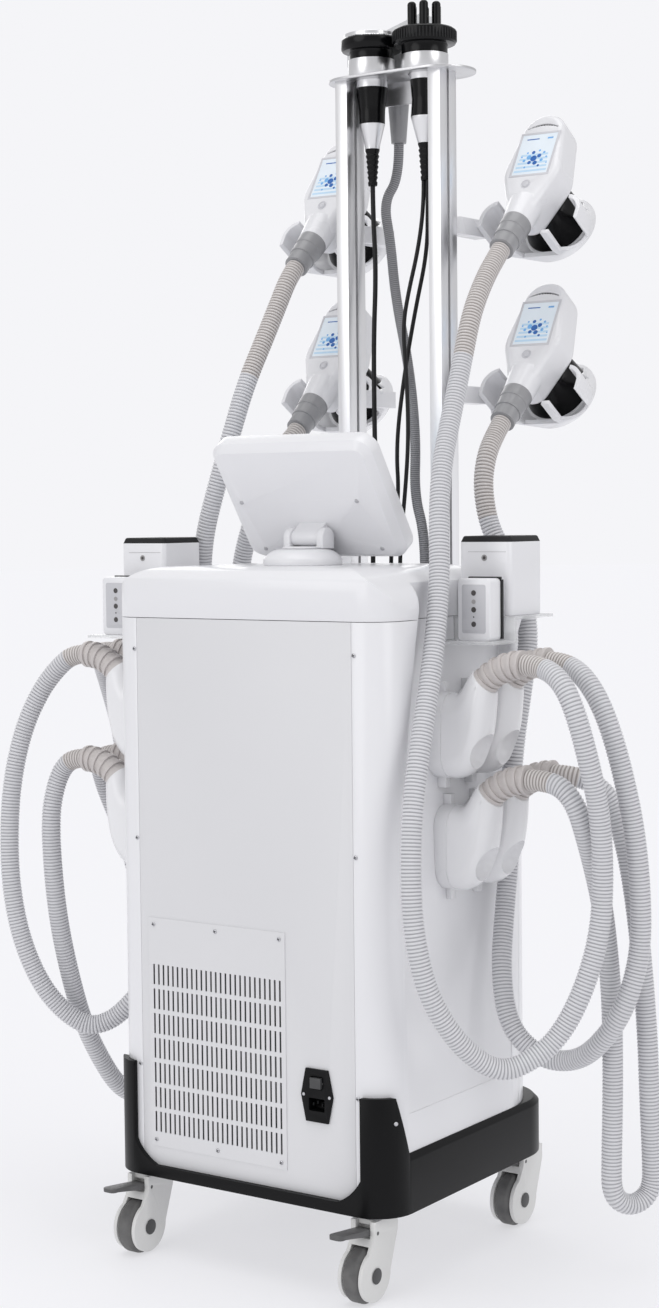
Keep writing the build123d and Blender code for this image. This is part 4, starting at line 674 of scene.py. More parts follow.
def disc(
    form: bmesh.types.BMesh,
    place: Matrix,
    radius: float,
    height: float,
    steps: int = 24,
    soft: float = 0.0,
    index: int = 0,
) -> None:
    """Add a round button shape.

    Args:
        form: the bmesh that it goes into.
        place: its base frame, with z out of its top.
        radius: its radius in metres.
        height: its height in metres.
        steps: sides of its circle.
        soft: radius of its softened top rim.
        index: material index of its faces.
    """
    made = bmesh.ops.create_cone(
        form,
        cap_ends=True,
        segments=steps,
        radius1=radius,
        radius2=radius,
        depth=height,
        matrix=place @ Matrix.Translation((0, 0, height / 2)),
    )
    faces = each_once(f for v in made["verts"] for f in v.link_faces)
    if soft > 0:
        axis = place.to_3x3() @ UP
        top = max(faces, key=lambda f: f.calc_center_median().dot(axis))
        new = rounded(form, list(top.edges), soft, segments=3)
        faces = each_once([f for f in faces if f.is_valid] + new)
    for face in faces:
        face.material_index = index


def slab(
    form: bmesh.types.BMesh,
    place: Matrix,
    size: Point,
    soft: float = 0.0,
    index: int = 0,
    corner: float = 0.0,
) -> None:
    """Add a plate with softened edges.

    Args:
        form: the bmesh that it goes into.
        place: frame of its middle.
        size: its length along each axis in metres.
        soft: radius of its softened edges.
        index: material index of its faces.
        corner: radius of its four corners about its own z.
    """
    made = bmesh.ops.create_cube(form, size=1.0, matrix=place @ Matrix.Diagonal((*size, 1)))
    faces = each_once(f for v in made["verts"] for f in v.link_faces)
    if corner > 0:
        axis = place.to_3x3() @ UP
        uprights = [
            e
            for e in each_once(e for f in faces for e in f.edges)
            if abs((e.verts[0].co - e.verts[1].co).normalized().dot(axis)) > 0.99
        ]
        new = rounded(form, uprights, corner, segments=6)
        faces = each_once([f for f in faces if f.is_valid] + new)
    if soft > 0:
        edges = each_once(e for f in faces for e in f.edges)
        sharp = [e for e in edges if e.calc_face_angle(0) > SLAB_ANGLE]
        new = rounded(form, sharp, soft, segments=2)
        faces = each_once([f for f in faces if f.is_valid] + new)
    for face in faces:
        face.material_index = index


def facing(origin: Sequence[float], x_dir: Sequence[float], z_dir: Sequence[float]) -> Matrix:
    """Frame with a given origin, x direction and outward z direction.

    Args:
        origin: its place in metres.
        x_dir: its x direction.
        z_dir: its z direction.

    Returns:
        The frame as a matrix.
    """
    z = Vector(z_dir).normalized()
    x = Vector(x_dir).normalized()
    y = z.cross(x)
    turn = Matrix((x, y, z)).transposed().to_4x4()
    return Matrix.Translation(origin) @ turn


def turned(
    form: bmesh.types.BMesh, place: Matrix, outline: Iterable[tuple[float, float]], steps: int
) -> None:
    """Spin an outline of radius and height about a frame's z axis.

    Args:
        form: the bmesh that it goes into.
        place: the frame.
        outline: radius and height pairs in metres, from low to high.
        steps: sides of the full turn.
    """
    verts = [form.verts.new(place @ Vector((radius, 0, height))) for radius, height in outline]
    edges = [form.edges.new(pair) for pair in zip(verts, verts[1:])]
    bmesh.ops.spin(
        form,
        geom=verts + edges,
        cent=place.translation,
        axis=place.to_3x3() @ UP,
        angle=math.tau,
        steps=steps,
        use_merge=True,
    )
    # the spin leaves its faces in no fixed order
    form.verts.index_update()
    for index, face in enumerate(sorted(form.faces, key=lambda f: sorted(v.index for v in f.verts))):
        face.index = index
    form.faces.sort()


# hoses and cables


@dataclass
class Line:
    """One hose, cable or lead: its route's points, its size and its ribs."""

    # sides of a hose, then a rib's profile as shares of its depth and its pitch, then the half-width of
    # each rib's crest as a share of the pitch, beyond which the grooves get painted shade
    SIDES = 18
    SHOULDER = 0.25
    FLANK = 0.22
    HALF_LAND = 0.28

    node: str
    radius: float
    length: float
    route: Sequence[Point]
    finish: Finish
    pitch: float = 0.0
    depth: float = 0.0
    tips: tuple[float, float] = (0.0, 0.0)
    # finishes for the grooves between the ribs are darker: painted shade
    groove_shade: Finish = HOSE_GROOVE_SHADE
    tip_finish: Finish = HOSE_WARM
    tip_groove_shade: Finish = HOSE_WARM_GROOVE_SHADE

    def curve(self, name: str) -> bpy.types.Curve:
        """Smooth curve with the route's points as its control points.

        Args:
            name: name of the curve data.

        Returns:
            The curve, with no bevel.
        """
        curve = bpy.data.curves.new(name, "CURVE")
        curve.dimensions = "3D"
        curve.resolution_u = 16
        spline = curve.splines.new("NURBS")
        spline.points.add(len(self.route) - 1)
        for point, place in zip(spline.points, self.route):
            point.co = (*place, 1.0)
        spline.order_u = 3
        spline.use_endpoint_u = True
        return curve

    def centreline(self) -> list[Vector]:
        """Points along the smooth curve, close together.

        Returns:
            The points.
        """
        name = f"{self.node}_guide"
        curve = self.curve(name)
        guide = Workshop.link(name, curve)
        bpy.context.view_layer.update()
        flat = bpy.data.meshes.new_from_object(guide)
        points = [v.co.copy() for v in flat.vertices]
        bpy.data.objects.remove(guide)
        bpy.data.curves.remove(curve)
        bpy.data.meshes.remove(flat)
        return points

    def plain(self, shop: Workshop) -> bpy.types.Object:
        """Smooth round cable as a bevelled curve.

        Args:
            shop: the workshop that makes it.

        Returns:
            The piece.
        """
        curve = self.curve(f"{self.node}_line")
        curve.bevel_depth = self.radius
        curve.bevel_resolution = 5
        curve.use_fill_caps = True
        piece = shop.link(f"{self.node}_line", curve)
        return shop.finish_object(piece, "cabinet", self.finish)

    def ribbed(self, shop: Workshop) -> tuple[bpy.types.Object, list[Vector]]:
        """Ribbed hose: a lathe-turned bellows bent along the smooth curve, with painted shade in its
        grooves.

        Args:
            shop: the workshop that makes it.

        Returns:
            The piece and the points of its centreline.
        """
        points = self.centreline()
        reach = [0.0]
        for before, after in zip(points, points[1:]):
            reach.append(reach[-1] + (after - before).length)
        total = reach[-1]
        ribs = round(total / self.pitch)
        step = total / ribs
        form = bmesh.new()
        outline: list[tuple[float, float]] = []
        for rib in range(ribs):
            low = rib * step
            shoulder = self.radius - self.SHOULDER * self.depth
            outline += [
                (self.radius - self.depth, low),
                (shoulder, low + self.FLANK * step),
                (self.radius, low + 0.5 * step),
                (shoulder, low + (1 - self.FLANK) * step),
            ]
        outline.append((self.radius - self.depth, total))
        turned(form, Matrix.Identity(4), outline, steps=self.SIDES)
        bmesh.ops.holes_fill(form, edges=[e for e in form.edges if e.is_boundary], sides=0)
        bmesh.ops.recalc_face_normals(form, faces=form.faces)
        for face in form.faces:
            along = face.calc_center_median().z
            warm = along < self.tips[0] or along > total - self.tips[1]
            # faces away from each rib's crest take the darker finishes: painted shade in the grooves
            shaded_groove = abs(along / step - math.floor(along / step) - 0.5) > self.HALF_LAND
            face.material_index = (1 if warm else 0) + (2 if shaded_groove else 0)
        self._bend(form, points, reach)
        piece = shop.from_bmesh(f"{self.node}_ribbed", form, smooth=80.0)
        shop.finish_object(piece, "cabinet", self.finish, self.tip_finish, self.groove_shade, self.tip_groove_shade)
        return piece, points

    def _bend(
        self, form: bmesh.types.BMesh, points: Sequence[Vector], reach: Sequence[float]
    ) -> None:
        """Bend a straight form that stands on z along the smooth curve.

        Args:
            form: the bmesh.
            points: points of the centreline.
            reach: length of the centreline up to each point.
        """
        frames = self._frames(points)
        index = 0
        for vert in sorted(form.verts, key=lambda v: v.co.z):
            while index < len(reach) - 2 and reach[index + 1] < vert.co.z:
                index += 1
            share = (vert.co.z - reach[index]) / (reach[index + 1] - reach[index])
            here = points[index].lerp(points[index + 1], min(max(share, 0.0), 1.0))
            first, second = frames[index], frames[index + 1]
            across = first[0].lerp(second[0], share).normalized()
            over = first[1].lerp(second[1], share).normalized()
            vert.co = here + across * vert.co.x + over * vert.co.y

    @staticmethod
    def _frames(points: Sequence[Vector]) -> list[tuple[Vector, Vector]]:
        """Two directions across the line at each point, carried along without twist.

        Args:
            points: points of the centreline.

        Returns:
            A pair of directions for each point.
        """
        frames = []
        across = (points[1] - points[0]).normalized().orthogonal().normalized()
        for index in range(len(points)):
            ahead = points[min(index + 1, len(points) - 1)]
            behind = points[max(index - 1, 0)]
            along = (ahead - behind).normalized()
            across = (across - along * across.dot(along)).normalized()
            frames.append((across, along.cross(across)))
        return frames

    def lay(self, shop: Workshop) -> None:
        """Args:
            shop: the workshop that makes it.
        """
        if self.pitch > 0:
            piece, points = self.ribbed(shop)
            path = [tuple(p) for p in points]
        else:
            piece, path = self.plain(shop), None
        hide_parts(self.node)


def grey_hose(
    node: str, length: float, tips: tuple[float, float], route: Sequence[Point]
) -> Line:
    """One of the six grey hoses, 28 mm thick and ribbed every 4.7 mm.

    Args:
        node: the CAD node that it stands for.
        length: its length in metres.
        tips: lengths in metres of the warmer stretches at its start and end.
        route: the control points of its curve.

    Returns:
        The line.
    """
    return Line(node, 0.014, length, route, HOSE, pitch=0.0047, depth=0.002, tips=tips)


LINES: tuple[Line, ...] = (
    grey_hose(
        node="upper_right_hose",
        length=1.858,
        tips=(0.2, 0.035),
        route=(
            (-0.176, -0.1269, 1.3842), (-0.176, -0.1076, 1.3668), (-0.178, -0.073, 1.334),
            (-0.181, -0.035, 1.286), (-0.186, -0.001, 1.217), (-0.192, 0.036, 1.147),
            (-0.202, 0.078, 1.081), (-0.215, 0.107, 1.01), (-0.229, 0.128, 0.935),
            (-0.239, 0.155, 0.861), (-0.247, 0.186, 0.79), (-0.253, 0.218, 0.718),
            (-0.257, 0.243, 0.643), (-0.261, 0.255, 0.566), (-0.268, 0.26, 0.487),
            (-0.283, 0.252, 0.411), (-0.306, 0.226, 0.353), (-0.327, 0.199, 0.32),
            (-0.348, 0.176, 0.306), (-0.372, 0.153, 0.316), (-0.4, 0.125, 0.344),
            (-0.427, 0.108, 0.404), (-0.442, 0.089, 0.479), (-0.446, 0.088, 0.557),
            (-0.446, 0.097, 0.636), (-0.439, 0.117, 0.71), (-0.426, 0.126, 0.768),
            (-0.404, 0.121, 0.804), (-0.3646, 0.103, 0.8204), (-0.3386, 0.103, 0.8204),
        ),
    ),
    grey_hose(
        node="lower_right_hose",
        length=1.613,
        tips=(0.16, 0.035),
        route=(
            (-0.176, -0.1269, 1.1442), (-0.176, -0.1076, 1.1268), (-0.181, -0.073, 1.095),
            (-0.183, -0.059, 1.05), (-0.197, -0.057, 0.989), (-0.236, -0.06, 0.937),
            (-0.25, -0.072, 0.857), (-0.252, -0.049, 0.783), (-0.251, -0.027, 0.707),
            (-0.243, -0.028, 0.629), (-0.242, -0.027, 0.552), (-0.247, -0.003, 0.474),
            (-0.26, 0.031, 0.399), (-0.281, 0.046, 0.329), (-0.324, 0.036, 0.291),
            (-0.368, 0.033, 0.291), (-0.411, 0.046, 0.315), (-0.454, 0.047, 0.371),
            (-0.47, 0.031, 0.446), (-0.472, 0.035, 0.524), (-0.468, 0.042, 0.603),
            (-0.457, 0.053, 0.68), (-0.438, 0.061, 0.753), (-0.406, 0.053, 0.8),
            (-0.3646, 0.035, 0.8204), (-0.3386, 0.035, 0.8204),
        ),
    ),
    grey_hose(
        node="upper_left_hose",
        length=1.866,
        tips=(0.2, 0.035),
        route=(
            (0.176, -0.1269, 1.3842), (0.176, -0.1076, 1.3668), (0.178, -0.083, 1.326),
            (0.181, -0.052, 1.274), (0.187, -0.013, 1.207), (0.197, 0.011, 1.133),
            (0.213, 0.027, 1.058), (0.238, 0.027, 0.983), (0.254, 0.012, 0.908),
            (0.252, 0.003, 0.83), (0.249, 0.002, 0.751), (0.249, 0.005, 0.673),
            (0.249, 0.012, 0.594), (0.252, 0.028, 0.517), (0.257, 0.053, 0.443),
            (0.268, 0.09, 0.374), (0.294, 0.129, 0.32), (0.325, 0.147, 0.285),
            (0.355, 0.166, 0.277), (0.381, 0.184, 0.296), (0.408, 0.205, 0.337),
            (0.431, 0.221, 0.404), (0.445, 0.226, 0.481), (0.451, 0.222, 0.56),
            (0.448, 0.216, 0.638), (0.438, 0.2, 0.713), (0.417, 0.185, 0.767),
            (0.391, 0.177, 0.8), (0.3646, 0.171, 0.8204), (0.3386, 0.171, 0.8204),
        ),
    ),
    grey_hose(
        node="lower_left_hose",
        length=1.562,
        tips=(0.16, 0.035),
        route=(
            (0.176, -0.1269, 1.1442), (0.176, -0.1076, 1.1268), (0.185, -0.077, 1.107),
            (0.195, -0.065, 1.072), (0.211, -0.062, 1.02), (0.241, -0.069, 0.953),
            (0.259, -0.08, 0.877), (0.258, -0.078, 0.798), (0.256, -0.074, 0.719),
            (0.254, -0.067, 0.64), (0.253, -0.059, 0.561), (0.255, -0.052, 0.483),
            (0.264, -0.045, 0.405), (0.28, -0.039, 0.345), (0.304, -0.035, 0.305),
            (0.336, -0.033, 0.29), (0.369, -0.031, 0.304), (0.393, -0.029, 0.342),
            (0.409, -0.028, 0.4), (0.417, -0.026, 0.47), (0.421, -0.021, 0.548),
            (0.42, -0.01, 0.625), (0.417, 0.008, 0.7), (0.411, 0.04, 0.764),
            (0.396, 0.074, 0.803), (0.376, 0.096, 0.818), (0.3646, 0.103, 0.8204),
            (0.3386, 0.103, 0.8204),
        ),
    ),
    grey_hose(
        node="right_loop_hose",
        length=1.305,
        tips=(0.035, 0.035),
        route=(
            (-0.3386, 0.091, 0.6704), (-0.3626, 0.091, 0.6704), (-0.39, 0.093, 0.664),
            (-0.409, 0.091, 0.64), (-0.415, 0.08, 0.606), (-0.416, 0.058, 0.56),
            (-0.417, 0.036, 0.505), (-0.417, 0.02, 0.438), (-0.418, 0.012, 0.37),
            (-0.417, 0.008, 0.299), (-0.417, 0.009, 0.23), (-0.416, 0.01, 0.166),
            (-0.416, 0.011, 0.112), (-0.433, -0.016, 0.094), (-0.45, -0.042, 0.112),
            (-0.45, -0.04, 0.166), (-0.449, -0.035, 0.237), (-0.446, -0.036, 0.315),
            (-0.441, -0.034, 0.396), (-0.438, -0.024, 0.476), (-0.431, -0.015, 0.551),
            (-0.421, -0.007, 0.605), (-0.408, -0.004, 0.641), (-0.387, 0.009, 0.663),
            (-0.3626, 0.023, 0.6704), (-0.3386, 0.023, 0.6704),
        ),
    ),
    grey_hose(
        node="left_loop_hose",
        length=1.200,
        tips=(0.035, 0.035),
        route=(
            (0.3386, 0.175, 0.6704), (0.3626, 0.175, 0.6704), (0.384, 0.177, 0.656),
            (0.394, 0.184, 0.626), (0.397, 0.192, 0.583), (0.396, 0.19, 0.507),
            (0.396, 0.179, 0.428), (0.395, 0.159, 0.35), (0.392, 0.135, 0.275),
            (0.387, 0.108, 0.221), (0.378, 0.076, 0.168), (0.37, 0.042, 0.146),
            (0.363, 0.01, 0.16), (0.361, -0.004, 0.2), (0.362, -0.002, 0.262),
            (0.366, 0.003, 0.345), (0.372, 0.012, 0.43), (0.38, 0.031, 0.512),
            (0.389, 0.057, 0.578), (0.391, 0.078, 0.62), (0.384, 0.097, 0.653),
            (0.3626, 0.107, 0.6704), (0.3386, 0.107, 0.6704),
        ),
    ),
    Line(
        node="cavitation_cable",
        radius=0.0035,
        length=0.556,
        finish=CABLE,
        route=(
            (0.045, -0.137, 1.492), (0.045, -0.137, 1.452), (0.036, -0.13, 1.369),
            (0.038, -0.125, 1.269), (0.034, -0.119, 1.164), (0.029, -0.113, 1.064),
            (0.034, -0.112, 0.977), (0.034, -0.112, 0.937),
        ),
    ),
    Line(
        node="vacuum_hose",
        radius=0.0075,
        length=0.647,
        finish=VACUUM,
        pitch=0.003,
        depth=0.0008,
        groove_shade=VACUUM_GROOVE_SHADE,
        tip_finish=VACUUM,
        tip_groove_shade=VACUUM_GROOVE_SHADE,
        route=(
            (0.038, -0.197, 1.56), (0.038, -0.197, 1.51), (0.058, -0.185, 1.475),
            (0.043, -0.18, 1.416), (0.025, -0.164, 1.333), (-0.011, -0.144, 1.228),
            (-0.033, -0.126, 1.123), (-0.031, -0.123, 1.044), (-0.054, -0.114, 0.987),
            (-0.054, -0.114, 0.937),
        ),
    ),
    Line(
        node="multipole_lead_1",
        radius=0.003,
        length=0.561,
        finish=CABLE,
        route=(
            (-0.0422, -0.137, 1.492), (-0.0422, -0.137, 1.456), (-0.042, -0.121, 1.392),
            (-0.031, -0.112, 1.333), (-0.024, -0.107, 1.284), (-0.034, -0.1, 1.218),
            (-0.039, -0.097, 1.126), (-0.031, -0.098, 1.041), (-0.022, -0.098, 0.973),
            (-0.022, -0.098, 0.937),
        ),
    ),
    Line(
        node="multipole_lead_2",
        radius=0.003,
        length=0.560,
        finish=CABLE,
        route=(
            (-0.0488, -0.137, 1.492), (-0.0488, -0.137, 1.456), (-0.045, -0.141, 1.391),
            (-0.03, -0.131, 1.308), (-0.015, -0.122, 1.21), (-0.003, -0.119, 1.114),
            (-0.009, -0.117, 1.037), (0.004, -0.114, 0.973), (0.004, -0.114, 0.937),
        ),
    ),
)

# cabinet and base


@dataclass
class Cabinet:
    """Shells, cover, sheets, screws and mains inlet of the cabinet."""

    edge: float = 0.0010
    sheet_screw_y: float = 0.260
    cross_size: Point = (0.0042, 0.0010, 0.0004)
    cross_turn: float = 0.4
    inlet: Point = (-0.117, 0.258, 0.261)
    inlet_screw_reach: float = 0.0205
    inlet_screw_rise: float = 0.0029

    def build(self, shop: Workshop) -> None:
        """Dress the cabinet.

        Args:
            shop: the workshop.
        """
        for node in ("side_shell_right", "side_shell_left", "front_panel", "top_cover"):
            shop.skin(node, WHITE, edge=self.edge)
        shop.skin("rear_panel", SHEET, edge=0.0005)
        shop.skin("vent_panel", SHEET, edge=0.0)
        shop.skin("rear_screws", STEEL, edge=0.0004)
        shop.skin("power_inlet", BASE, edge=0.0006)
        shop.skin("power_rocker", CHARCOAL, edge=0.0006)
        self._cross_recess_shades(shop)
        self._inlet_screws(shop)

    def _cross_recess_shades(self, shop: Workshop) -> None:
        """Dark crosses in the heads of the sheets' screws: painted shade of their cross recesses.

        Args:
            shop: the workshop.
        """
        form = bmesh.new()
        for low, high in solid_boxes("rear_screws"):
            middle = (low + high) / 2
            if abs(high.y - self.sheet_screw_y) > 0.002:
                continue
            place = facing((middle.x, high.y - 0.0001, middle.z), (1, 0, 0), (0, 1, 0))
            for turn in (self.cross_turn, self.cross_turn + math.pi / 2):
                # each dark cross is painted shade where the screw head has its recess
                slab(form, place @ Matrix.Rotation(turn, 4, "Z"), self.cross_size)
        piece = shop.from_bmesh("screw_crosses", form)
        shop.finish_object(piece, "cabinet", SCREW_RECESS_SHADE)

    def _inlet_screws(self, shop: Workshop) -> None:
        """Screws at the inlet's two sides.

        Args:
            shop: the workshop.
        """
        x, y, z = self.inlet
        form = bmesh.new()
        for side in (-1, 1):
            origin = (x + side * self.inlet_screw_reach, y + self.inlet_screw_rise, z)
            disc(form, facing(origin, (1, 0, 0), (0, 1, 0)), 0.0022, 0.0008, soft=0.0004)
        piece = shop.from_bmesh("inlet_screws", form)
        shop.finish_object(piece, "cabinet", STEEL)


def solid_boxes(node: str) -> list[tuple[Vector, Vector]]:
    """Lowest and highest corner of each separate solid of a node.

    Args:
        node: the CAD node.

    Returns:
        A pair of corners for each solid.
    """
    form = merged(node)
    form.verts.index_update()
    seen: set[int] = set()
    boxes = []
    for start in form.verts:
        if start.index in seen:
            continue
        group, stack = [], [start]
        seen.add(start.index)
        while stack:
            vert = stack.pop()
            group.append(vert.co.copy())
            for edge in vert.link_edges:
                other = edge.other_vert(vert)
                if other.index not in seen:
                    seen.add(other.index)
                    stack.append(other)
        low = Vector([min(co[i] for co in group) for i in range(3)])
        high = Vector([max(co[i] for co in group) for i in range(3)])
        boxes.append((low, high))
    form.free()
    return boxes


@dataclass
class Base:
    """Black shroud, its plate, and the four casters."""

    hub_radius: float = 0.027
    cap_radius: float = 0.0105
    cap_height: float = 0.0006
    cap_sink: float = 0.0004

    def build(self, shop: Workshop) -> None:
        """Dress the base and casters.

        Args:
            shop: the workshop.
        """
        shop.skin("base_shroud", BASE, edge=0.0012)
        shop.skin("chassis_plate", STEEL, edge=0.0005)
        for corner in ("rear_right", "rear_left", "front_right", "front_left"):
            self._caster(shop, corner)

    def _caster(self, shop: Workshop, corner: str) -> None:
        """One caster: fork, wheel with a grey tyre and a pale hub, pedal and caps.

        Args:
            shop: the workshop.
            corner: the corner's name.
        """
        low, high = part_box(f"caster_wheel_{corner}")
        hub = (low + high) / 2

        def ring(centre: Vector, normal: Vector) -> int:
            """Tyre outside the hub's radius, hub inside it."""
            return 0 if math.hypot(centre.y - hub.y, centre.z - hub.z) > self.hub_radius else 1

        shop.skin(f"caster_fork_{corner}", FORK, edge=0.0008)
        shop.skin(f"caster_wheel_{corner}", TYRE, FORK, edge=0.0008, sorter=ring)
        shop.skin(f"brake_pedal_{corner}", PEDAL, edge=0.0006)
        fork_low, fork_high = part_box(f"caster_fork_{corner}")
        form = bmesh.new()
        for side, reach in ((-1, fork_low.x), (1, fork_high.x)):
            origin = (reach - side * self.cap_sink, hub.y, hub.z)
            place = facing(origin, (0, 1, 0), (side, 0, 0))
            disc(form, place, self.cap_radius, self.cap_height, steps=32, soft=0.0003)
        piece = shop.from_bmesh(f"caster_caps_{corner}", form)
        shop.finish_object(piece, f"caster_{corner}", CHARCOAL)


# mast and handpieces


@dataclass
class Mast:
    """Columns, plates and the three handpieces that hang from the top plate."""

    plate_top: float = 1.646
    glands: tuple[float, float] = (0.9235, 0.94)
    cavitation_head: float = 0.061
    multipole_head: float = 0.059
    neck_length: float = 0.101
    neck_ring: float = 0.13
    ferrule_from: float = 0.65
    grip_axis: tuple[float, float] = (-0.0455, -0.137)
    grip_rise: float = 0.0475
    grip_radius: float = 0.0457
    grip_ribs: int = 60
    grip_rib_size: Point = (0.014, 0.0022, 0.0012)

    def build(self, shop: Workshop) -> None:
        """Dress the mast and the handpieces.

        Args:
            shop: the workshop.
        """
        shop.skin("mast_columns", COLUMN, edge=0.0004)

        def plates(centre: Vector, normal: Vector) -> int:
            """Glands below, plate above."""
            return 1 if self.glands[0] < centre.z < self.glands[1] else 0

        shop.skin("mast_plates", PLATE, BLACK_SATIN, edge=0.0005, sorter=plates)
        shop.skin(
            "cavitation_handpiece",
            BLACK,
            SILVER,
            edge=0.0006,
            sorter=self._bands(self.cavitation_head, 0.42, 0.92),
        )
        shop.skin(
            "multipole_handpiece",
            BLACK,
            SILVER,
            edge=0.0006,
            sorter=self._bands(self.multipole_head, 0.39, 2.0),
        )

        def vacuum(centre: Vector, normal: Vector) -> int:
            """Frosted head above the plate, grey grip below it."""
            return 0 if centre.z > self.plate_top - 0.004 else 1

        shop.skin("vacuum_handpiece", FROSTED, COUPLING, edge=0.0008, sorter=vacuum)
        self._knurl(shop)

    def _bands(self, head: float, cup: float, crown: float) -> Sorter:
        """Sorter that leaves the cup, neck ring and ferrule bright and the rest black.

        Args:
            head: height of the head over the plate.
            cup: share of the head below which it is bright.
            crown: share of the head above which it is bright again.

        Returns:
            The sorter.
        """

        def pick(centre: Vector, normal: Vector) -> int:
            """Material index by height.

            Args:
                centre: a face's middle.
                normal: its outward direction; not used.

            Returns:
                1 where it is bright, else 0.
            """
            rise = centre.z - self.plate_top
            if rise >= 0:
                share = rise / head
                return 1 if share <= cup or share > crown else 0
            drop = -rise / self.neck_length
            return 1 if drop < self.neck_ring or self.ferrule_from < drop < 1.0 else 0

        return pick

    def _knurl(self, shop: Workshop) -> None:
        """Grip ribs round the ring of the six-pole head.

        Args:
            shop: the workshop.
        """
        middle = Vector((*self.grip_axis, self.plate_top + self.grip_rise))
        form = bmesh.new()
        for index in range(self.grip_ribs):
            turn = math.tau * index / self.grip_ribs
            out = Vector((math.cos(turn), math.sin(turn), 0))
            place = facing(middle + out * self.grip_radius, (0, 0, 1), out)
            slab(form, place, self.grip_rib_size, soft=0.0004)
        piece = shop.from_bmesh("ring_grip_ribs", form)
        shop.finish_object(piece, "cabinet", BLACK_SATIN)


# screen handles


# x and y in metres before spreading, radius in millimetres and ink of each drop on a screen
DROPS: tuple[tuple[float, float, float, Ink], ...] = (
    (0.000, 0.000, 5.2, Ink.DARK),
    (0.006, 0.003, 3.4, Ink.DARK),
    (-0.006, 0.002, 3.8, Ink.PALE),
    (0.003, -0.006, 3.6, Ink.DARK),
    (-0.004, -0.005, 3.0, Ink.DARK),
    (0.010, -0.003, 2.6, Ink.PALE),
    (0.011, 0.007, 2.0, Ink.PALE),
    (-0.011, -0.002, 2.4, Ink.PALE),
    (-0.002, 0.008, 2.8, Ink.DARK),
    (0.005, 0.010, 1.8, Ink.PALE),
    (-0.009, 0.008, 1.6, Ink.PALE),
    (0.015, 0.001, 1.5, Ink.PALE),
    (-0.015, 0.003, 1.5, Ink.PALE),
    (0.008, -0.010, 2.0, Ink.DARK),
    (-0.008, -0.011, 1.6, Ink.PALE),
    (0.017, -0.007, 1.2, Ink.PALE),
)


@dataclass
class Handle:
    """One screen handle in its own frame: x across, y up its length, z out of its screen."""

    side: int
    level: str
    height: float
    y: float = -0.170
    spread: float = 0.176
    lean: float = 31.0
    front: float = 0.008
    screen_middle: float = 0.117
    screen_size: tuple[float, float] = (0.056, 0.070)
    drop_spread: float = 1.35
    button_y: float = 0.064

    @property
    def place(self) -> Matrix:
        """Frame of the handle at the end of its neck.

        Returns:
            The frame.
        """
        lean = math.radians(self.lean)
        origin = (self.side * self.spread, self.y, self.height)
        return facing(origin, (-1, 0, 0), (0, math.cos(lean), math.sin(lean)))

    @property
    def name(self) -> str:
        """Name of the handle by its level and side."""
        return f"{self.level}_{'left' if self.side > 0 else 'right'}"

    def at(self, x: float, y: float, z: float) -> Matrix:
        """Frame at a point of the handle."""
        return self.place @ Matrix.Translation((x, y, z))

    def screen(self, form: bmesh.types.BMesh) -> None:
        """Generic picture on the screen: page, banded foot, drops and two marks at its top.

        Args:
            form: the bmesh of all screens.
        """
        wide, tall = self.screen_size
        page = self.front + 0.00004
        paper = (wide + 0.0006, tall + 0.0006, 0.00012)
        slab(form, self.at(0, self.screen_middle, page), paper, index=Ink.PAPER)
        low = self.screen_middle - tall / 2 + 0.002
        for row in range(5):
            place = self.at(0.0, low + 0.0035 + row * 0.007, page + 0.00006 + row * 0.000004)
            slab(form, place, (wide - 0.004 - row * 0.002, 0.0035, 0.0001), index=Ink.TINT)
        ink = page + 0.0001
        for x, y, radius, index in DROPS:
            rise = self.screen_middle - 0.008 + self.drop_spread * y
            place = self.at(self.drop_spread * x, rise, ink)
            disc(form, place, radius * MM, 0.00008, steps=16, index=index)
        top = self.screen_middle + tall / 2 - 0.008
        slab(form, self.at(-0.010, top, ink), (0.020, 0.0018, 0.00008), index=Ink.DARK)
        slab(form, self.at(0.018, top, ink), (0.009, 0.0030, 0.00008), index=Ink.PALE)


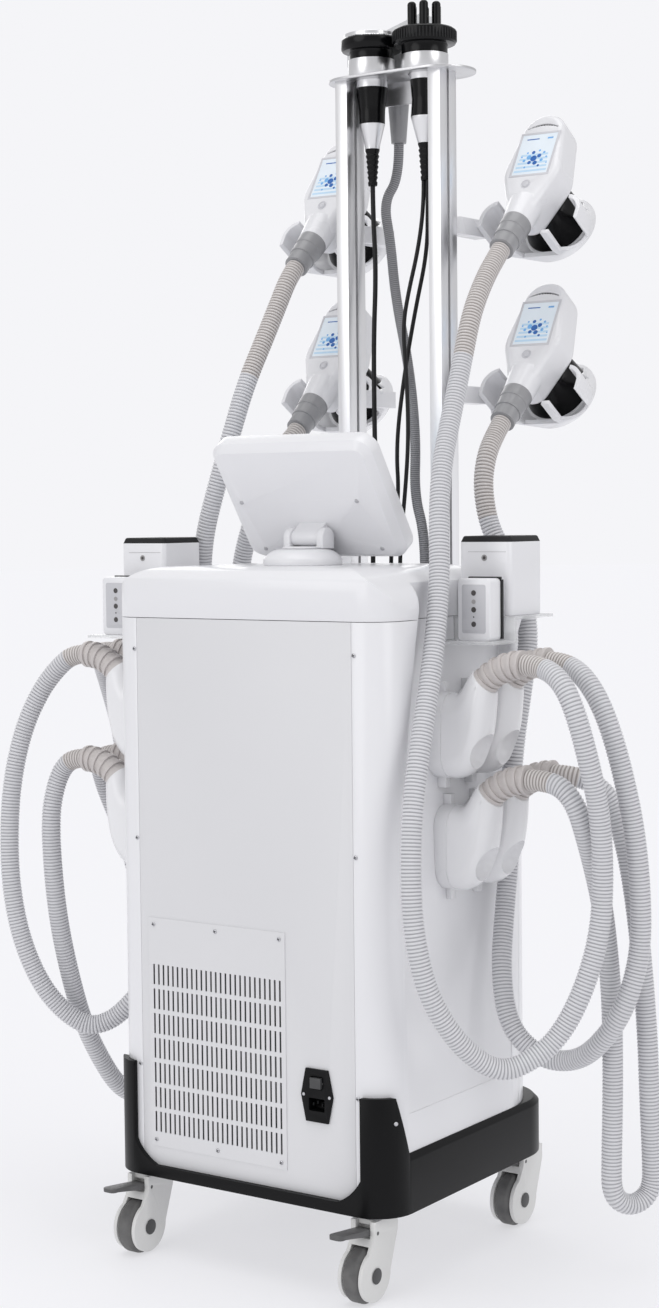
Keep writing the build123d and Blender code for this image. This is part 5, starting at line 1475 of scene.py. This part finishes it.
@dataclass
class Handles:
    """The four screen handles with their cups, couplings and cradles."""

    heights: tuple[float, float] = (1.423, 1.183)
    bezel_width: float = 0.0036
    bezel_gap: float = 0.0022
    button_ring: Sequence[tuple[float, float]] = (
        (0.0058, -0.0002),
        (0.0058, 0.0005),
        (0.0066, 0.0007),
        (0.0074, 0.0005),
        (0.0074, -0.0002),
        (0.0058, -0.0002),
    )
    grille_pitch: float = 0.0043
    grille_y: float = 0.1675
    grille_arch: float = 0.0060
    grille_half: int = 5

    def build(self, shop: Workshop) -> None:
        """Dress the handles.

        Args:
            shop: the workshop.
        """
        handles = [
            Handle(side, level, height)
            for level, height in zip(("upper", "lower"), self.heights)
            for side in (-1, 1)
        ]
        shop.skin("handle_bodies", HANDLE_WHITE, edge=0.0008)
        shop.skin("handle_screens", GLASS, edge=0.0)
        shop.skin("handle_cups", BLACK, edge=0.0010)
        shop.skin("handle_couplings", COUPLING, edge=0.0005)
        shop.skin("handle_cradles", HANDLE_WHITE, edge=0.0012)
        for handle in handles:
            shop.skin(f"handle_button_{handle.name}", BEZEL, edge=0.0006)
        pages, bezels, grilles = bmesh.new(), bmesh.new(), bmesh.new()
        for handle in handles:
            handle.screen(pages)
            self._bezel(bezels, handle)
            self._grille(grilles, handle)
        piece = shop.from_bmesh("handle_screen_pages", pages)
        shop.finish_object(piece, "cabinet", PAGE, PAGE_TINT, DROP, DROP_PALE)
        piece = shop.from_bmesh("handle_bezels", bezels)
        shop.finish_object(piece, "cabinet", BEZEL)
        piece = shop.from_bmesh("handle_grilles", grilles)
        shop.finish_object(piece, "cabinet", BLACK_SATIN)

    def _bezel(self, form: bmesh.types.BMesh, handle: Handle) -> None:
        """Raised frame round the screen and ring round the button.

        Args:
            form: the bmesh of all bezels.
            handle: the handle.
        """
        wide, tall = handle.screen_size
        x, y = wide / 2 + self.bezel_gap, tall / 2 + self.bezel_gap
        across = (wide + 0.008, self.bezel_width, 0.0005)
        along = (self.bezel_width, tall + 0.0008, 0.0005)
        rise = handle.front + 0.0001
        for shift, lift, size in ((0, y, across), (0, -y, across), (x, 0, along), (-x, 0, along)):
            slab(form, handle.at(shift, handle.screen_middle + lift, rise), size, soft=0.0001)
        turned(form, handle.at(0, handle.button_y, handle.front), self.button_ring, steps=32)

    def _grille(self, form: bmesh.types.BMesh, handle: Handle) -> None:
        """Dark bars in the curved vent above the screen.

        Args:
            form: the bmesh of all grilles.
            handle: the handle.
        """
        for index in range(-self.grille_half, self.grille_half + 1):
            x = index * self.grille_pitch
            y = self.grille_y - self.grille_arch * (index / self.grille_half) ** 2
            slab(form, handle.at(x, y, handle.front - 0.0035), (0.0012, 0.0050, 0.0050))


# plugs, trays and applicators


@dataclass
class PlugBank:
    """Docks and plugs on both flanks, with their ribbed sleeves."""

    neck_x: float = 0.282
    neck_rise: float = 0.072
    levels: Sequence[tuple[float, Sequence[tuple[float, float]]]] = (
        (0.725, ((0.035, 0.103), (0.103, 0.171))),
        (0.575, ((0.023, 0.091), (0.107, 0.175))),
    )
    bend: float = 0.080
    bend_shift: float = 0.05657
    sleeve_radius: float = 0.0196
    neck_margin: float = 0.0002
    sleeve_margin: float = 0.002

    def build(self, shop: Workshop) -> None:
        """Dress docks and plugs.

        Args:
            shop: the workshop.
        """

        def past_neck(centre: Vector, normal: Vector) -> int:
            """Sleeve beyond the plane of the plug's neck, plug before it.

            Args:
                centre: a face's middle.
                normal: its outward direction; not used.

            Returns:
                1 on a sleeve, else 0.
            """
            out = abs(centre.x) - self.neck_x
            for level, rows in self.levels:
                rise = centre.z - level - self.neck_rise
                arm = math.hypot(out - self.bend_shift, rise + self.bend_shift) - self.bend
                across = min(abs(centre.y - y) for y in rows[centre.x > 0])
                beyond = out + rise > self.neck_margin and out < self.bend_shift + self.sleeve_margin
                if beyond and math.hypot(arm, across) < self.sleeve_radius:
                    return 1
            return 0

        shop.skin("plug_docks", DOCK, edge=0.0008)
        shop.skin("hose_plugs", PLUG, SLEEVE, edge=0.0006, sorter=past_neck, smooth=50.0)


@dataclass
class Applicators:
    """Clear trays and the parked applicators with their pads, faces and marks."""

    # height over the face's middle, radius and colour of each mark on a small applicator
    SPOTS = (
        (0.021, 0.0036, Print.SPOT),
        (0.0095, 0.0030, Print.RING),
        (-0.001, 0.0036, Print.SPOT),
        (-0.0105, 0.0010, Print.SPOT),
        (-0.0200, 0.0036, Print.SPOT),
    )

    shift_x: float = 0.022
    shift_y: float = 0.080
    small_x: float = 0.260
    small_rear_y: float = 0.094
    small_size: tuple[float, float] = (0.050, 0.082)
    small_low: float = 0.849
    large_x: float = 0.2485
    large_rear_y: float = 0.047
    large_mark_z: float = 0.957
    pad_low: float = 0.9775
    plate_shift: float = 0.029
    plate_width: float = 0.006
    plate_depth: float = 0.0036

    def build(self, shop: Workshop) -> None:
        """Dress trays and applicators.

        Args:
            shop: the workshop.
        """
        shop.skin("side_trays", CLEAR, edge=0.0006)

        def parts(centre: Vector, normal: Vector) -> int:
            """Dark pad on the large applicator's top, white shell elsewhere."""
            return 1 if centre.z > self.pad_low else 0

        shop.skin("spare_applicators", HANDLE_WHITE, BLACK_SATIN, edge=0.0020, sorter=parts)
        faces, blacks = bmesh.new(), bmesh.new()
        for side, out, back in ((-1, 0.0, 0.0), (1, self.shift_x, self.shift_y)):
            x, y = side * (self.small_x + out), self.small_rear_y + back
            self._small_face(faces, x, y)
            self._edge_plates(blacks, side, x, y)
            self._large_mark(faces, side * (self.large_x + out), self.large_rear_y + back)
        piece = shop.from_bmesh("applicator_faces", faces)
        shop.finish_object(piece, "cabinet", FACE_GREY, MARK, MARK_RING)
        piece = shop.from_bmesh("applicator_edge_plates", blacks)
        shop.finish_object(piece, "cabinet", BLACK_SATIN)

    def _small_face(self, form: bmesh.types.BMesh, x: float, y: float) -> None:
        """Membrane with a raised field, four round marks and a dot on the small applicator.

        Args:
            form: the bmesh of all faces.
            x: x of the applicator's middle.
            y: y of its rear face.
        """
        wide, tall = self.small_size
        middle = self.small_low + tall / 2
        place = facing((x, y + 0.00015, middle + 0.001), (-1, 0, 0), (0, 1, 0))
        membrane = (wide - 0.014, tall - 0.018, 0.0005)
        slab(form, place, membrane, soft=0.0001, index=Print.MEMBRANE, corner=0.003)
        lower = place @ Matrix.Translation((0, -0.020, 0.0003))
        slab(form, lower, (wide - 0.018, 0.016, 0.0003), index=Print.MEMBRANE, corner=0.002)
        for rise, radius, index in self.SPOTS:
            spot = place @ Matrix.Translation((0, rise, 0.0003))
            disc(form, spot, radius, 0.0004, steps=20, index=index)

    def _edge_plates(self, form: bmesh.types.BMesh, side: int, x: float, y: float) -> None:
        """Black plates along the small applicator's outer and upper edges.

        Args:
            form: the bmesh of all plates.
            side: -1 on the right flank, 1 on the left.
            x: x of the applicator's middle.
            y: y of its rear face.
        """
        wide, tall = self.small_size
        outer = (x + side * (wide / 2 - 0.0002), y - self.plate_shift, self.small_low + tall / 2)
        upper = (x, y - self.plate_shift, self.small_low + tall - 0.0002)
        upright = (self.plate_width, tall - 0.004, self.plate_depth)
        level = (wide - 0.002, self.plate_width, self.plate_depth)
        slab(form, facing(outer, (0, 1, 0), (side, 0, 0)), upright, soft=0.0005)
        slab(form, facing(upper, (1, 0, 0), (0, 0, 1)), level, soft=0.0005)

    def _large_mark(self, form: bmesh.types.BMesh, x: float, y: float) -> None:
        """Single round mark and a thin line high on the large applicator's rear face.

        Args:
            form: the bmesh of all faces.
            x: x of the applicator's middle.
            y: y of its rear face.
        """
        place = facing((x, y + 0.0001, self.large_mark_z), (-1, 0, 0), (0, 1, 0))
        heart = place @ Matrix.Translation((0, 0, 0.0003))
        line = place @ Matrix.Translation((0.004, 0.008, 0.0))
        disc(form, place, 0.0042, 0.0004, steps=20, index=Print.RING)
        disc(form, heart, 0.0022, 0.0003, steps=16, index=Print.SPOT)
        slab(form, line, (0.058, 0.0004, 0.0003), index=Print.RING)


# monitor


@dataclass
class Monitor:
    """Tilting monitor: stand, yoke, shell and a generic page on its screen."""

    origin: Point = (0.0, 0.053, 0.953)
    lean: float = 34.0
    size: tuple[float, float] = (0.264, 0.188)
    depth: float = 0.030
    margin: float = 0.034
    hinge_reach: float = 0.03

    @property
    def place(self) -> Matrix:
        """Frame of the monitor's back at its lower edge.

        Returns:
            The frame.
        """
        lean = math.radians(self.lean)
        return facing(self.origin, (-1, 0, 0), (0, math.cos(lean), -math.sin(lean)))

    def build(self, shop: Workshop) -> None:
        """Dress the monitor.

        Args:
            shop: the workshop.
        """
        back = self.place.inverted()

        def screws(centre: Vector, normal: Vector) -> int:
            """Screw heads stand proud of the back, away from the hinge."""
            local = back @ centre
            return 1 if local.z > 0.0002 and abs(local.x) > self.hinge_reach else 0

        shop.skin("monitor_stand", WHITE, edge=0.0008)
        shop.skin("monitor_yoke", WHITE, edge=0.0012)
        shop.skin("monitor_shell", WHITE, STEEL, edge=0.0014, sorter=screws)
        shop.skin("monitor_screen", GLASS, edge=0.0)
        self._page(shop)

    def _page(self, shop: Workshop) -> None:
        """Generic page: header band, four tiles with dials and a foot band.

        Args:
            shop: the workshop.
        """
        form = bmesh.new()
        wide, tall = self.size[0] - self.margin, self.size[1] - self.margin
        middle = Matrix.Translation((0, self.size[1] / 2, -self.depth - 0.00006))
        front = self.place @ middle @ Matrix.Rotation(math.pi, 4, "Y")

        def at(x: float, y: float, z: float, base: Matrix = front) -> Matrix:
            """Frame at a point of the page."""
            return base @ Matrix.Translation((x, y, z))

        slab(form, front, (wide, tall, 0.00012), index=Ink.PAPER)
        slab(form, at(0, tall / 2 - 0.010, 0.0001), (wide, 0.016, 0.0001), index=Ink.TINT)
        slab(form, at(0, -tall / 2 + 0.008, 0.0001), (wide, 0.012, 0.0001), index=Ink.TINT)
        for column in (-1.5, -0.5, 0.5, 1.5):
            tile = at(column * wide / 4.3, 0.004, 0.0001)
            slab(form, tile, (wide / 4.9, tall * 0.62, 0.0001), index=Ink.PALE, corner=0.004)
            disc(form, at(0, 0.014, 0.0001, tile), 0.016, 0.0001, steps=32, index=Ink.PAPER)
            disc(form, at(0, 0.014, 0.0002, tile), 0.012, 0.0001, steps=32, index=Ink.DARK)
            for row in range(3):
                rule = at(0, -0.014 - row * 0.008, 0.0001, tile)
                slab(form, rule, (0.030 - 0.004 * row, 0.0032, 0.0001), index=Ink.PAPER)
        piece = shop.from_bmesh("monitor_page", form)
        shop.finish_object(piece, "monitor_head", PAGE, PAGE_TINT, DROP, DROP_PALE)


# works inside


@dataclass
class Works:
    """Simple works inside the cabinet."""

    def build(self, shop: Workshop) -> None:
        """Dress the inner pieces.

        Args:
            shop: the workshop.
        """
        for node, finish in (
            ("radiator", FIN),
            ("fan_rotor", BLACK_SATIN),
            ("water_tank", TANK),
            ("vacuum_pump", STEEL),
            ("electronics", BOARD),
        ):
            shop.skin(node, finish, edge=0.0008)


# studio


@dataclass
class Studio:
    """Pale floor, soft lights and the photograph's camera."""

    eye: Point = (-1.78397, 2.63308, 1.01778)
    azimuth: float = 214.645
    pitch: float = 3.559
    roll: float = -0.604
    focal: float = 62.15
    sensor_height: float = 36.0
    floor_radius: float = 40.0
    sky: Color = (1.0, 1.0, 1.02)
    sky_strength: float = 0.62
    backdrop: Color = (0.913, 0.913, 0.938)

    def build(self, palette: Palette) -> None:
        """Set the stage.

        Args:
            palette: gives the floor's material.
        """
        self._ground(palette)
        self._lights()
        self._world()
        self._camera()

    def _ground(self, palette: Palette) -> None:
        """Wide plain floor.

        Args:
            palette: gives its material.
        """
        form = bmesh.new()
        bmesh.ops.create_circle(form, cap_ends=True, segments=96, radius=self.floor_radius)
        mesh = bpy.data.meshes.new("studio_plane")
        form.to_mesh(mesh)
        form.free()
        mesh.shade_smooth()
        floor = Workshop.link("studio_plane", mesh)
        mesh.materials.append(palette(FLOOR))

    def _light(self, name: str, toward: Point, strength: float, width: float) -> None:
        """Add one wide, soft, even light.

        Args:
            name: its name.
            toward: direction from the machine to the light.
            strength: its strength.
            width: its width seen from the machine, in degrees.
        """
        data = bpy.data.lights.new(name, "SUN")
        data.energy = strength
        data.angle = math.radians(width)
        lamp = Workshop.link(name, data)
        lamp.matrix_world = Vector(toward).to_track_quat("Z", "Y").to_matrix().to_4x4()

    def _lights(self) -> None:
        """Key from the photograph's right, fill from the camera's side, one above, one behind."""
        self._light("key_light", (-3.2, 0.2, 1.5), 0.45, 34.0)
        self._light("fill_light", (0.9, 3.2, 1.1), 0.55, 40.0)
        self._light("top_light", (0.0, 0.3, 3.6), 0.90, 50.0)
        self._light("back_light", (2.2, -2.4, 1.3), 0.40, 34.0)

    def _world(self) -> None:
        """Even pale surroundings."""
        world = bpy.data.worlds.new("studio_world")
        world.use_nodes = True
        tree = world.node_tree
        sky = tree.nodes["Background"]
        sky.inputs["Color"].default_value = (*self.sky, 1)
        sky.inputs["Strength"].default_value = self.sky_strength
        seen = tree.nodes.new("ShaderNodeBackground")
        seen.inputs["Color"].default_value = (*self.backdrop, 1)
        path = tree.nodes.new("ShaderNodeLightPath")
        mix = tree.nodes.new("ShaderNodeMixShader")
        tree.links.new(path.outputs["Is Camera Ray"], mix.inputs["Fac"])
        tree.links.new(sky.outputs[0], mix.inputs[1])
        tree.links.new(seen.outputs[0], mix.inputs[2])
        tree.links.new(mix.outputs[0], tree.nodes["World Output"].inputs["Surface"])
        bpy.context.scene.world = world
        bpy.context.scene.view_settings.view_transform = "Standard"

    def _camera(self) -> None:
        """Camera at the photograph's place and lens."""
        azimuth, pitch, roll = (math.radians(v) for v in (self.azimuth, self.pitch, self.roll))
        level = math.cos(pitch)
        back = Vector((math.sin(azimuth) * level, -math.cos(azimuth) * level, math.sin(pitch)))
        right = Vector((math.cos(azimuth), math.sin(azimuth), 0.0))
        up = back.cross(right)
        rolled_right = math.cos(roll) * right + math.sin(roll) * up
        rolled_up = -math.sin(roll) * right + math.cos(roll) * up
        data = bpy.data.cameras.new("photo_camera")
        data.sensor_fit = "VERTICAL"
        data.sensor_height = self.sensor_height
        data.lens = self.focal
        camera = Workshop.link("photo_camera", data)
        turn = Matrix((rolled_right, rolled_up, back)).transposed().to_4x4()
        camera.matrix_world = Matrix.Translation(self.eye) @ turn
        bpy.context.scene.camera = camera


def main() -> None:
    """Build every sub-assembly in order and report the pieces."""
    logging.basicConfig(level=logging.INFO, format="%(name)s: %(message)s")
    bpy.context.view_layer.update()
    palette = Palette()
    shop = Workshop(palette)
    Studio().build(palette)
    for line in LINES:
        line.lay(shop)
    Cabinet().build(shop)
    Base().build(shop)
    Mast().build(shop)
    Handles().build(shop)
    PlugBank().build(shop)
    Applicators().build(shop)
    Monitor().build(shop)
    Works().build(shop)
    log.info("%d pieces made", len(shop.made))


if __name__ == "__main__":
    main()
